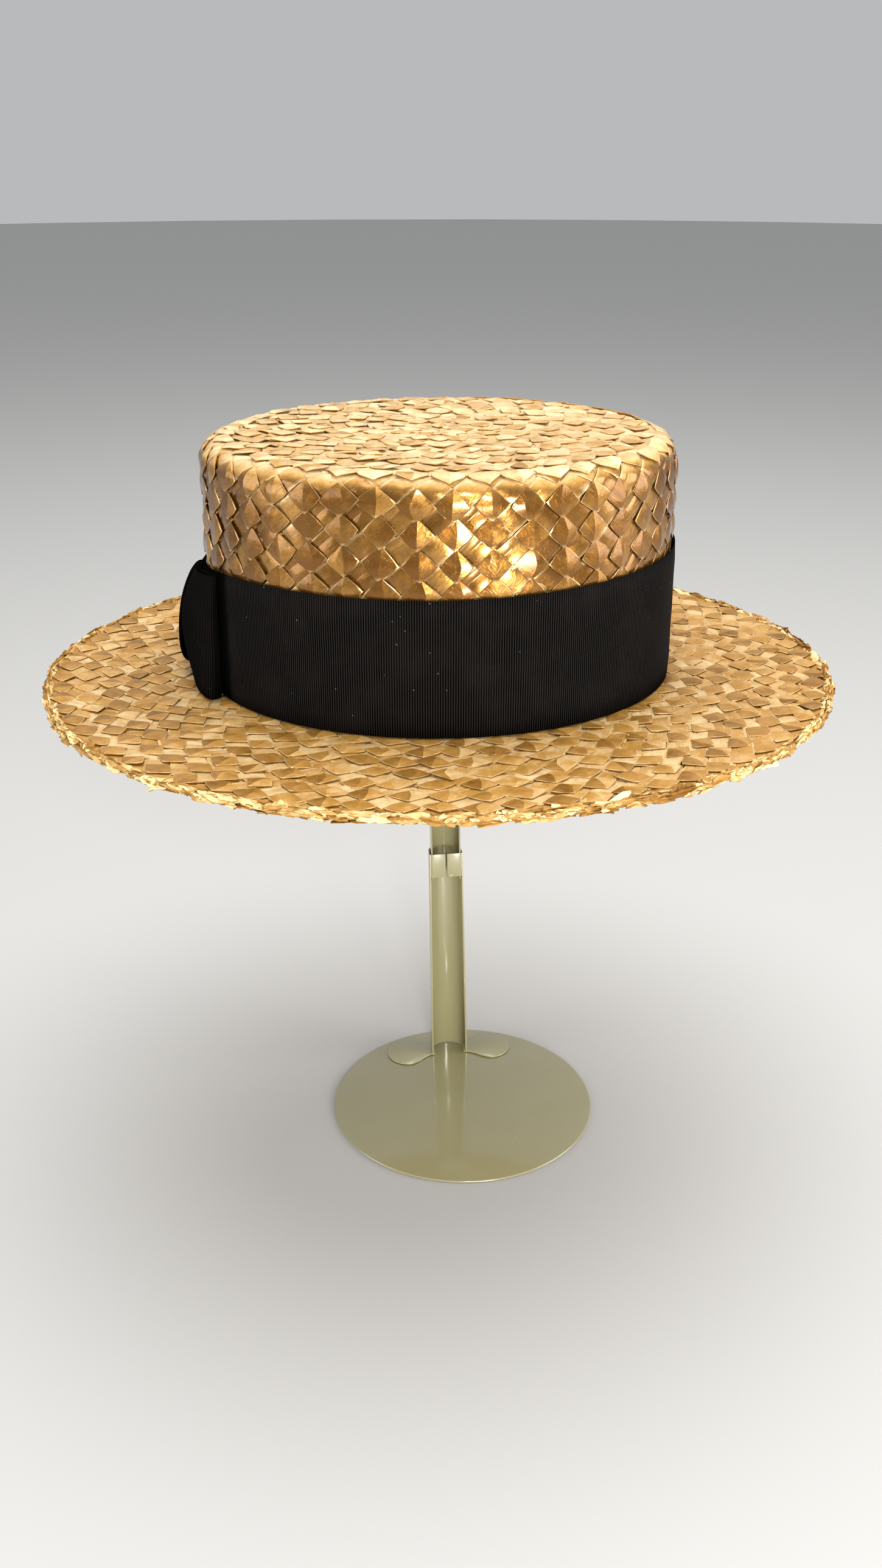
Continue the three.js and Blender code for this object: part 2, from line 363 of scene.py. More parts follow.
def flat_tile(hat, lean, groove):
    """A straw that crosses between the points: it arches and dives under its neighbours at both ends."""
    bm = bmesh.new()
    strand = bm.loops.layers.uv.new("strand")
    edge_layer = bm.verts.layers.float.new("edge")
    bm.faces.layers.float.new("tone")
    shares = SPLIT_SHARES if groove else FLAT_SHARES
    cuts = len(shares) - 1
    bmesh.ops.create_grid(bm, x_segments=FLAT_STEPS, y_segments=cuts, size=0.5)
    for vert in bm.verts:
        along = vert.co.x
        row = round((vert.co.y + 0.5) * cuts)
        across = shares[row]
        arch = -ARCH_DEPTH * abs(2 * along) ** 2.6
        crest = -CREST_DEPTH * abs(2 * across) ** 4
        cut = -SPLIT_DEPTH if groove and row == SPLIT_ROW else 0.0
        vert[edge_layer] = 1.0 if row in (0, cuts) else 0.0
        vert.co = (along, across, arch + crest + cut)
    for face in bm.faces:
        for loop in face.loops:
            loop[strand].uv = loop.vert.co.xy
    give_wall(bm, hat.straw, edge_layer)
    turned = Matrix.Rotation(lean * math.pi / 4, 3, "Z")
    shrink = Matrix.Diagonal((math.sqrt(0.5), math.sqrt(0.5), 1.0))
    bmesh.ops.transform(bm, matrix=(shrink @ turned).to_4x4(), verts=bm.verts)
    return finish_tile(bm, "flat_tile")


# Rows of plait. A style says how bold, pale, large and uneven a stretch of plait is.

Style = namedtuple("Style", "relief rise tent_tone flat_tone tent_size uneven swap weave")
TIP_STYLE = Style(
    relief=0.8,
    rise=0.12 * MM,
    tent_tone=-0.02,
    flat_tone=0.04,
    tent_size=0.80,
    uneven=0.06,
    swap=0.18,
    weave=0.07,
)
SIDE_STYLE = Style(
    relief=1.0,
    rise=0.42 * MM,
    tent_tone=0.06,
    flat_tone=0.12,
    tent_size=1.0,
    uneven=0.03,
    swap=0.08,
    weave=0.03,
)
# The brim's tents are toned darker than its flats as painted shade on the tents.
BRIM_STYLE = Style(
    relief=0.8,
    rise=0.15 * MM,
    tent_tone=0.40,
    flat_tone=0.63,
    tent_size=0.97,
    uneven=0.05,
    swap=0.1,
    weave=0.05,
)
INNER_STYLE = Style(
    relief=0.7,
    rise=0.3 * MM,
    tent_tone=0.40,
    flat_tone=0.55,
    tent_size=1.0,
    uneven=0.03,
    swap=0.05,
    weave=0.03,
)

# A tile's place on the hat, its size, twist and tilts, its lift, relief and row rise, and its tone.
Place = namedtuple("Place", "tile turn tip inward wide tall twist lean tilt lift relief rise tone contrast")

# One repeat of plait: its crossing straws, its layers and tones, and how far scallops move inward.
SPLIT_CHANCE = 0.45
FLAT_SIZE = 1.1
TOP_LIFT = 0.42
LAYER_DROP = 0.34
TONE_SPREAD = 0.17
SCALLOP_INWARD = 2.2 * MM

# The crown's long row: where it starts, crosses the front and ends, and its smaller points in the middle.
SPIRAL_START = 7 * MM
FRONT_TIP = 8.4 * MM
PLAIT_FOOT = 262 * MM
MIDDLE_SIZE = 0.45
SIZE_GROWTH = 0.55
FULL_SIZE_RADIUS = 40 * MM

# Places on the shoulder, in its radii: where the tip's style turns into the side's, and where scallops lie.
BLEND_START = 0.9
BLEND_RUN = 0.8
SCALLOP_START = 0.3
SCALLOP_END = 1.72
SCALLOP_SQUASH = 0.72

# How the band presses the plait: the relief left at its edge and under it, and the run between them.
EDGE_RELIEF = 0.6
PRESSED_RELIEF = 0.35
PRESS_RUN = 3 * MM

# Limits that keep tiles near the hat's axis in shape, and how far each straw's pattern is shifted.
FIRST_STATION = 0.2 * MM
FIRST_RADIUS = 3.0 * MM
PATTERN_SHIFT = 40


def blended(first, second, share):
    """A style between two others."""
    return Style(*(a + share * (b - a) for a, b in zip(first, second)))


def plait_tiles(hat):
    """Templates of the tiles, by name."""
    tiles = {name: tent_tile(hat, folds, TENT_ROWS) for name, folds in TENT_FOLDS.items()}
    tiles["scallop"] = tent_tile(hat, TENT_FOLDS["tent_flat"], SCALLOP_ROWS)
    for name, lean in (("right", 1), ("left", -1)):
        tiles[name] = flat_tile(hat, lean, False)
        tiles[name + "_split"] = flat_tile(hat, lean, True)
    return tiles


def unit_of_plait(rng, style, turn, step, tip, pitch, spacing, layers, squash=1.0):
    """The tiles of one repeat of the plait: a point, and the straws that cross inward of it."""
    places = []
    tents = list(TENT_FOLDS)
    for layer in range(layers):
        tent = layer == 0
        if tent:
            name = tents[rng.integers(len(tents))] if squash == 1.0 else "scallop"
        else:
            name = "right" if layer == 1 else "left"
            if rng.random() < SPLIT_CHANCE:
                name += "_split"
        size = style.tent_size if tent else FLAT_SIZE
        weave = (0.0, style.weave, -style.weave)[layer]
        raised = 0.0 if squash == 1.0 else SCALLOP_INWARD
        places.append(
            Place(
                tile=name,
                turn=turn + step * (0.5 * (layer % 2) + style.uneven * rng.standard_normal()),
                tip=tip,
                inward=raised + pitch * (0.5 * squash + 0.5 * layer + style.uneven * rng.standard_normal()),
                wide=spacing * size * (1.0 + 0.05 * rng.standard_normal()),
                tall=pitch * size * squash * (1.04 + 0.04 * rng.standard_normal()),
                twist=2 * style.uneven * rng.standard_normal(),
                lean=weave + 0.045 * rng.standard_normal(),
                tilt=0.03 * rng.standard_normal(),
                lift=MM * (TOP_LIFT - LAYER_DROP * layer + style.swap * rng.standard_normal()),
                relief=style.relief,
                rise=style.rise,
                tone=(style.tent_tone if tent else style.flat_tone) + rng.uniform(-TONE_SPREAD, TONE_SPREAD),
                contrast=0.08 + 0.06 * rng.standard_normal(),
            )
        )
    return places


def ring_of_plait(rng, hat, style, radius, tip, pitch, layers=3):
    """One row that closes on itself."""
    around = FULL_TURN * arc_radius(hat, radius, math.pi / 4)
    count = round(around / hat.spacing)
    step = FULL_TURN / count
    start = rng.random() * step
    places = []
    for unit in range(count):
        turn = start + unit * step
        spacing = step * arc_radius(hat, radius, turn)
        places += unit_of_plait(rng, style, turn, step, tip, pitch, spacing, layers)
    return places


def spiral_of_plait(rng, hat, styles, profile, first, last, front_tip, layers=3):
    """One long row that winds from the middle of the tip down the crown's side."""
    pitch = hat.crown_pitch
    turn = FRONT + FULL_TURN * (first - front_tip) / pitch
    places = []
    tip = first
    while tip < last:
        radius = float(profile(hat, np.array([tip]))[0][0])
        small = min(1.0, MIDDLE_SIZE + SIZE_GROWTH * radius / FULL_SIZE_RADIUS)
        arc = float(arc_radius(hat, radius, turn))
        step = hat.spacing * small / arc
        over = (tip - hat.mean_radius + hat.shoulder) / hat.shoulder
        style = blended(*styles, min(1.0, max(0.0, (over - BLEND_START) / BLEND_RUN)))
        squash = SCALLOP_SQUASH if SCALLOP_START < over < SCALLOP_END else 1.0
        places += unit_of_plait(rng, style, turn, step, tip, pitch, hat.spacing * small, layers, squash)
        turn += step
        tip = front_tip + pitch * (turn - FRONT) / FULL_TURN
    return places


def lay_plait(name, hat, tiles, profile, hand, pitch, places):
    """One mesh of all the tiles, each bent onto the hat. hand is -1 on faces that are seen from inside."""
    rng = np.random.default_rng(hat.seed + len(places))
    bm = bmesh.new()
    for place in places:
        bm.from_mesh(tiles[place.tile])
    mesh = mesh_of(bm, name)
    used = [tiles[place.tile] for place in places]
    table = {field: np.array([getattr(place, field) for place in places]) for field in Place._fields[1:]}

    def spread(field, counts):
        return np.repeat(table[field], counts)

    verts = [len(tile.vertices) for tile in used]
    local = points_of(mesh)
    u = local[:, 0] * spread("wide", verts)
    v = local[:, 1] * spread("tall", verts)
    twist = spread("twist", verts)
    along = u * np.cos(twist) - v * np.sin(twist)
    inward = u * np.sin(twist) + v * np.cos(twist) + spread("inward", verts)
    lift = local[:, 2] + spread("lift", verts) + spread("lean", verts) * u + spread("tilt", verts) * v
    lift += hat.crumple * rng.standard_normal(len(lift))
    lift = spread("relief", verts) * lift + spread("rise", verts) * np.clip(1.0 - inward / pitch, -1.0, 1.0)
    turn = spread("turn", verts)
    tip = spread("tip", verts)
    station = np.maximum(tip - inward, FIRST_STATION)
    radius, height, _, _ = profile(hat, station)
    radius = np.maximum(radius, FIRST_RADIUS)
    turn = turn + hand * along / arc_radius(hat, radius, turn)
    if profile is crown_outside:
        left = np.clip(EDGE_RELIEF + (height - band_top(turn)) / PRESS_RUN, PRESSED_RELIEF, 1.0)
        lift = np.minimum(lift, lift * left)
    set_points(mesh, on_surface(hat, profile, station, turn, lift))

    faces = [len(tile.polygons) for tile in used]
    tone = mesh.attributes["tone"]
    half = np.empty(len(mesh.polygons))
    tone.data.foreach_get("value", half)
    tone.data.foreach_set("value", spread("tone", faces) + half * spread("contrast", faces))

    corners = [len(tile.loops) for tile in used]
    strand = mesh.uv_layers["strand"].data
    uv = np.empty(len(mesh.loops) * 2)
    strand.foreach_get("uv", uv)
    offset = np.repeat(rng.random((len(places), 2)) * PATTERN_SHIFT, corners, axis=0)
    strand.foreach_set("uv", uv + offset.ravel())
    return mesh


def chain(bm, points):
    """Verts at some points, and the edges from each to the next."""
    verts = [bm.verts.new(point) for point in points]
    return verts, [bm.edges.new(pair) for pair in zip(verts, verts[1:])]


def spun_shell(name, section, steps):
    """A section of radius and height, spun about the hat's axis."""
    bm = bmesh.new()
    verts, edges = chain(bm, [(radius, 0.0, height) for radius, height in section])
    bmesh.ops.spin(
        bm,
        geom=verts + edges,
        cent=(0.0, 0.0, 0.0),
        axis=(0.0, 0.0, 1.0),
        dvec=(0.0, 0.0, 0.0),
        angle=FULL_TURN,
        steps=steps,
        use_merge=True,
        use_duplicate=False,
    )
    bmesh.ops.remove_doubles(bm, verts=bm.verts, dist=0.001 * MM)
    bmesh.ops.recalc_face_normals(bm, faces=bm.faces)
    for face in bm.faces:
        face.smooth = True
    return mesh_of(bm, name)


def ovalised(hat, mesh):
    points = points_of(mesh)
    radius = np.hypot(points[:, 0], points[:, 1])
    turn = np.arctan2(points[:, 1], points[:, 0])
    points[:, 0], points[:, 1] = oval(hat, radius, turn)
    set_points(mesh, points)
    return mesh


def toned(mesh, tone):
    """Gives a whole mesh one tone of straw."""
    layer = mesh.attributes.new("tone", "FLOAT", "FACE")
    layer.data.foreach_set("value", np.full(len(mesh.polygons), tone))
    return mesh


def joined(name, *meshes):
    """Several meshes as one, with their attributes."""
    bm = bmesh.new()
    for mesh in meshes:
        bm.from_mesh(mesh)
    return mesh_of(bm, name)


# Materials.

# Colours that vary the ribbon and the paint.
FADED_RIBBON = (0.022, 0.018, 0.016, 1.0)
LINT = (0.35, 0.32, 0.28, 1.0)
PALE_PAINT = (0.32, 0.295, 0.160, 1.0)
PAINT_DIRT = (0.13, 0.11, 0.06, 1.0)

# How far under the top of the hat the straw begins to turn paler, and where it is palest.
PALE_TOP_START = 7 * MM
PALE_TOP_END = 1.3 * MM


def set_sockets(tree, made, sockets):
    """Links or sets some of a node's inputs."""
    for name, value in sockets.items():
        if isinstance(value, bpy.types.NodeSocket):
            tree.links.new(value, made.inputs[name])
        else:
            made.inputs[name].default_value = value


def node(tree, kind, sockets=None, **settings):
    """A node with its settings, its sockets linked or set."""
    made = tree.nodes.new(kind)
    for name, value in settings.items():
        setattr(made, name, value)
    set_sockets(tree, made, sockets or {})
    return made


def maths(tree, operation, first, second=0.0):
    return node(tree, "ShaderNodeMath", {0: first, 1: second}, operation=operation).outputs[0]


def stretched(tree, vector, scale):
    return node(tree, "ShaderNodeMapping", {"Vector": vector, "Scale": scale}).outputs[0]


def noise(tree, vector, scale, detail=2.0, roughness=0.5):
    sockets = {"Vector": vector, "Scale": scale, "Detail": detail, "Roughness": roughness}
    return node(tree, "ShaderNodeTexNoise", sockets).outputs["Fac"]


def between(tree, value, low, high, out_low=0.0, out_high=1.0):
    sockets = {"Value": value, "From Min": low, "From Max": high, "To Min": out_low, "To Max": out_high}
    return node(tree, "ShaderNodeMapRange", sockets, clamp=True).outputs[0]


def mixed(tree, share, first, second):
    return node(tree, "ShaderNodeMix", {0: share, 6: first, 7: second}, data_type="RGBA").outputs[2]


def bumps(tree, strength, distance, height):
    sockets = {"Strength": strength, "Distance": distance, "Height": height}
    return node(tree, "ShaderNodeBump", sockets).outputs[0]


def object_place(tree):
    return node(tree, "ShaderNodeTexCoord").outputs["Object"]


def attribute(tree, name):
    return node(tree, "ShaderNodeAttribute", attribute_name=name).outputs["Fac"]


def new_group(name, inputs, outputs):
    """A shader node group with named sockets, and its two ends."""
    group = bpy.data.node_groups.new(name, "ShaderNodeTree")
    for label, kind in inputs.items():
        group.interface.new_socket(name=label, in_out="INPUT", socket_type=kind)
    for label, kind in outputs.items():
        group.interface.new_socket(name=label, in_out="OUTPUT", socket_type=kind)
    return group, group.nodes.new("NodeGroupInput").outputs, group.nodes.new("NodeGroupOutput").inputs


def close_group(group, ends, values):
    for label, socket in values.items():
        group.links.new(socket, ends[label])


def straw_group():
    """Colour, wear and height of varnished straw: fibres along each straw, stains and nicks, a painted
    highlight or painted dark line along each tile's edge, and painted shade on its walls.
    """
    inputs = {
        "Strand": "NodeSocketVector",
        "Place": "NodeSocketVector",
        "Tone": "NodeSocketFloat",
        "Edge": "NodeSocketFloat",
        "Dark": "NodeSocketColor",
        "Middle": "NodeSocketColor",
        "Pale": "NodeSocketColor",
    }
    outputs = {"Color": "NodeSocketColor", "Wear": "NodeSocketFloat", "Height": "NodeSocketFloat"}
    group, start, ends = new_group("varnished_straw", inputs, outputs)

    def along_straw(slow, fast, detail=1.0, roughness=0.5):
        """Noise that changes slowly along each straw and faster across it."""
        return noise(group, stretched(group, start["Strand"], (slow, fast, 1.0)), 1.0, detail, roughness)

    fibre = along_straw(1.6, 40.0, 3.0, 0.6)
    stain = noise(group, start["Place"], 140.0, 4.0, 0.65)
    blister = along_straw(1.6, 2.6, 0.0, 0.4)
    wrinkle = along_straw(1.4, 2.6)
    crumple = along_straw(5.0, 8.0)
    nick = along_straw(6.0, 14.0)
    tone = maths(group, "ADD", start["Tone"], between(group, fibre, 0.25, 0.75, -0.16, 0.16))
    tone = maths(group, "ADD", tone, between(group, stain, 0.3, 0.7, -0.16, 0.16))
    lower = mixed(group, between(group, tone, 0.0, 0.5), start["Dark"], start["Middle"])
    body = mixed(group, between(group, tone, 0.5, 1.05), lower, start["Pale"])
    # The mask below marks each tile's edge, broken up by fibre noise: on the darker straw it takes a painted
    # highlight, where the rounded fold would catch the light, and on the paler straw a painted dark line.
    edge = between(group, start["Edge"], 0.3, 0.9)
    worn = maths(group, "MULTIPLY", edge, between(group, fibre, 0.3, 0.6, 0.3, 0.85))
    # A darker straw colour, painted shade for the gaps between tiles and for dark lines along the paler
    # straw's edges.
    seam = mixed(group, between(group, tone, 0.2, 0.8), start["Dark"], start["Middle"])
    edge_highlight = mixed(group, between(group, tone, 0.1, 0.4, 0.5, 1.0), start["Middle"], start["Pale"])
    painted_edge = mixed(group, between(group, tone, 0.55, 0.75), edge_highlight, seam)
    body = mixed(group, worn, body, painted_edge)
    # Each tile's folded wall, down in the gap beside it, takes that darker colour as painted shade.
    body = mixed(group, between(group, start["Edge"], -1.0, -0.05, 1.0, 0.0), body, seam)
    body = mixed(group, between(group, nick, 0.68, 0.76, 0.0, 0.75), body, start["Dark"])
    fold = maths(group, "ABSOLUTE", maths(group, "SUBTRACT", wrinkle, 0.5))
    height = maths(group, "MULTIPLY", fibre, 0.05)
    height = maths(group, "ADD", height, maths(group, "MULTIPLY", blister, 0.6))
    height = maths(group, "ADD", height, maths(group, "MULTIPLY", crumple, 0.14))
    height = maths(group, "ADD", height, between(group, fold, 0.0, 0.05, 0.06, 0.0))
    height = maths(group, "SUBTRACT", height, between(group, nick, 0.66, 0.78, 0.0, 0.12))
    wear = between(group, stain, 0.3, 0.7)
    close_group(group, ends, {"Color": body, "Wear": wear, "Height": height})
    return group


def speck_group():
    """A mask of scattered specks, such as lint on cloth or dust on paint."""
    inputs = {"Place": "NodeSocketVector", "Scale": "NodeSocketFloat", "Amount": "NodeSocketFloat"}
    group, start, ends = new_group("specks", inputs, {"Mask": "NodeSocketFloat"})
    sockets = {"Vector": start["Place"], "Scale": start["Scale"], "Randomness": 1.0}
    cells = node(group, "ShaderNodeTexVoronoi", sockets)
    chosen = node(group, "ShaderNodeSeparateColor", {0: cells.outputs["Color"]}).outputs[0]
    picked = maths(group, "LESS_THAN", chosen, start["Amount"])
    near = between(group, cells.outputs["Distance"], 0.10, 0.20, 1.0, 0.0)
    close_group(group, ends, {"Mask": maths(group, "MULTIPLY", picked, near)})
    return group


def use_group(tree, name, make, sockets):
    """Places a shared group, which is made the first time."""
    group = bpy.data.node_groups.get(name) or make()
    return node(tree, "ShaderNodeGroup", sockets, node_tree=group).outputs


def specks(tree, place, scale, amount):
    sockets = {"Place": place, "Scale": scale, "Amount": amount}
    return use_group(tree, "specks", speck_group, sockets)["Mask"]


def new_material(name):
    material = bpy.data.materials.new(name)
    material.use_nodes = True
    tree = material.node_tree
    tree.nodes.clear()
    shader = tree.nodes.new("ShaderNodeBsdfPrincipled")
    output = tree.nodes.new("ShaderNodeOutputMaterial")
    tree.links.new(shader.outputs[0], output.inputs[0])
    return material, tree, shader


# How glossy a straw is: its golden shine where it is dark, its coat, roughness and bumps, and how much paler
# it is at the crown's top.
Gloss = namedtuple("Gloss", "shine coat smooth rough bump bleach")
CROWN_GLOSS = Gloss(shine=0.70, coat=0.55, smooth=0.20, rough=0.36, bump=0.45 * MM, bleach=0.78)
BRIM_GLOSS = Gloss(shine=0.2, coat=0.15, smooth=0.30, rough=0.48, bump=0.3 * MM, bleach=0.0)
PLAIN_GLOSS = Gloss(shine=0.0, coat=0.0, smooth=0.45, rough=0.65, bump=0.25 * MM, bleach=0.0)


def straw_material(name, dark, middle, pale, gloss):
    material, tree, shader = new_material(name)
    place = object_place(tree)
    up = node(tree, "ShaderNodeSeparateXYZ", {0: place}).outputs["Z"]
    low = crown_high.z - PALE_TOP_START
    high = crown_high.z - PALE_TOP_END
    tone = maths(tree, "ADD", attribute(tree, "tone"), between(tree, up, low, high, 0.0, gloss.bleach))
    sockets = {
        "Strand": node(tree, "ShaderNodeUVMap", uv_map="strand").outputs[0],
        "Place": place,
        "Tone": tone,
        "Edge": attribute(tree, "edge"),
        "Dark": dark,
        "Middle": middle,
        "Pale": pale,
    }
    straw = use_group(tree, "varnished_straw", straw_group, sockets)
    sockets = {
        "Base Color": straw["Color"],
        "Roughness": between(tree, straw["Wear"], 0.0, 1.0, gloss.smooth, gloss.rough),
        "Metallic": between(tree, tone, 0.25, 0.5, gloss.shine, 0.0),
        "Coat Weight": between(tree, tone, 0.25, 0.5, gloss.coat, 0.1 * gloss.coat),
        "Normal": bumps(tree, 1.0, gloss.bump, straw["Height"]),
        "Coat Roughness": 0.12,
        "Specular IOR Level": 0.2,
    }
    set_sockets(tree, shader, sockets)
    return material


def ribbon_material(finish, ribbon):
    material, tree, shader = new_material("ribbed_grosgrain")
    weave = node(tree, "ShaderNodeUVMap", uv_map="ribbon").outputs[0]
    along = node(tree, "ShaderNodeSeparateXYZ", {0: weave}).outputs[0]
    place = object_place(tree)
    wave = maths(tree, "SINE", maths(tree, "MULTIPLY", along, FULL_TURN / ribbon.rib_pitch))
    thread = noise(tree, stretched(tree, weave, (900.0, 4200.0, 1.0)), 1.0, 1.0)
    fade = noise(tree, place, 60.0, 3.0, 0.6)
    rib = maths(tree, "ADD", wave, between(tree, thread, 0.3, 0.7, -0.5, 0.5))
    # Rib tops in the lighter colour are a painted sheen and grooves in the darker one painted shade.
    black = mixed(tree, between(tree, rib, -0.2, 1.2), finish.groove, finish.ribbon)
    black = mixed(tree, between(tree, fade, 0.45, 0.75, 0.0, 0.2), black, FADED_RIBBON)
    black = mixed(tree, maths(tree, "MULTIPLY", specks(tree, place, 650.0, 0.02), 0.4), black, LINT)
    sockets = {
        # The ribbon's own attribute darkens it towards the groove colour as painted shade.
        "Base Color": mixed(tree, attribute(tree, "painted_light"), finish.groove, black),
        "Normal": bumps(tree, 0.4, 0.1 * MM, thread),
        "Roughness": 0.85,
        "Specular IOR Level": 0.0,
    }
    set_sockets(tree, shader, sockets)
    return material


def paint_material(finish):
    material, tree, shader = new_material("stand_enamel")
    place = object_place(tree)
    cloud = noise(tree, place, 35.0, 3.0, 0.55)
    peel = noise(tree, place, 900.0, 1.0)
    paint = mixed(tree, between(tree, cloud, 0.1, 0.9), finish.paint, PALE_PAINT)
    dirt = maths(tree, "MULTIPLY", specks(tree, place, 300.0, 0.02), 0.35)
    sockets = {
        "Base Color": mixed(tree, dirt, paint, PAINT_DIRT),
        "Roughness": between(tree, cloud, 0.1, 0.9, 0.26, 0.34),
        "Normal": bumps(tree, 0.1, 0.2 * MM, peel),
        "Coat Weight": 1.0,
        "Coat Roughness": 0.10,
        "Coat IOR": 1.65,
    }
    set_sockets(tree, shader, sockets)
    return material


# Straw pieces.

# The straw behind the tiles: its depths under the crown's surface, and the steps of its spins.
BACKING_DEPTHS = (0.9 * MM, 1.4 * MM)
CROWN_SPIN = 96
BRIM_SPIN = 160

# How far the rim reaches past the last row of plait.
RIM_REACH = 2.8 * MM

# Chips of raw straw at the rim: their wall and spacing, and ranges of their sizes, directions and lifts.
CHIP_WALL = 0.35 * MM
CHIP_SPACING = 0.8 * MM
CHIP_LENGTHS = (5, 15)
CHIP_WIDTHS = (1.2, 3.4)
CHIP_FACINGS = (-1.5, 2.3)
CHIP_CURLS = (-0.5, 0.7)
CHIP_LIFTS = (-0.3, 0.6)
CHIP_INSET = 2.2 * MM
CHIP_OUT = 1.7 * MM
CHIP_UP = 1.3 * MM


class BOATER_OT_crown(bpy.types.Operator):
    """Lays the plait over the crown, outside and inside"""

    bl_idname = "boater.crown"
    bl_label = "Crown"

    def execute(self, context):
        hat = context.scene.boater_hat
        finish = context.scene.boater_finish
        rng = np.random.default_rng(hat.seed)
        tiles = plait_tiles(hat)
        flat = hat.mean_radius - hat.shoulder
        side = flat + hat.shoulder * math.pi / 2
        front_tip = flat + FRONT_TIP
        under_band = side + hat.top - hat.shoulder - PLAIT_FOOT
        styles = (TIP_STYLE, SIDE_STYLE)
        places = spiral_of_plait(rng, hat, styles, crown_outside, SPIRAL_START, under_band, front_tip)
        outside = lay_plait("crown_outside", hat, tiles, crown_outside, 1, hat.crown_pitch, places)
        foot = side + hat.top - hat.shoulder - hat.brim_top
        styles = (INNER_STYLE, INNER_STYLE)
        places = spiral_of_plait(rng, hat, styles, crown_inside, SPIRAL_START, foot, front_tip, layers=2)
        inside = lay_plait("crown_inside", hat, tiles, crown_inside, -1, hat.crown_pitch, places)
        shell = self.backing(hat)
        colours = (finish.straw_dark, finish.straw_middle, finish.straw_pale)
        straw = straw_material("crown_straw", *colours, CROWN_GLOSS)
        plain = straw_material("inner_straw", *colours, PLAIN_GLOSS)
        add_piece(joined("crown_plait", outside, shell), "straw", [straw], "crown")
        add_piece(joined("crown_inner_plait", inside), "straw", [plain], "crown")
        return {"FINISHED"}

    @staticmethod
    def backing(hat):
        """The straw behind the tiles, as one closed wall."""
        stations = np.linspace(0.0, hat.mean_radius - hat.shoulder, 4)
        bend = np.linspace(stations[-1], stations[-1] + hat.shoulder * math.pi / 2, 7)
        foot = bend[-1] + hat.top - ROW_LIP - hat.shoulder - hat.brim_top
        stations = np.concatenate([stations, bend[1:], [foot]])
        section = []
        radius, height, out, up = crown_outside(hat, stations)
        for depth in BACKING_DEPTHS:
            line = list(zip(np.maximum(radius - out * depth, 0.0), height - up * depth))
            section += line if not section else line[::-1]
        return toned(ovalised(hat, spun_shell("crown_backing", section, CROWN_SPIN)), 0.1)


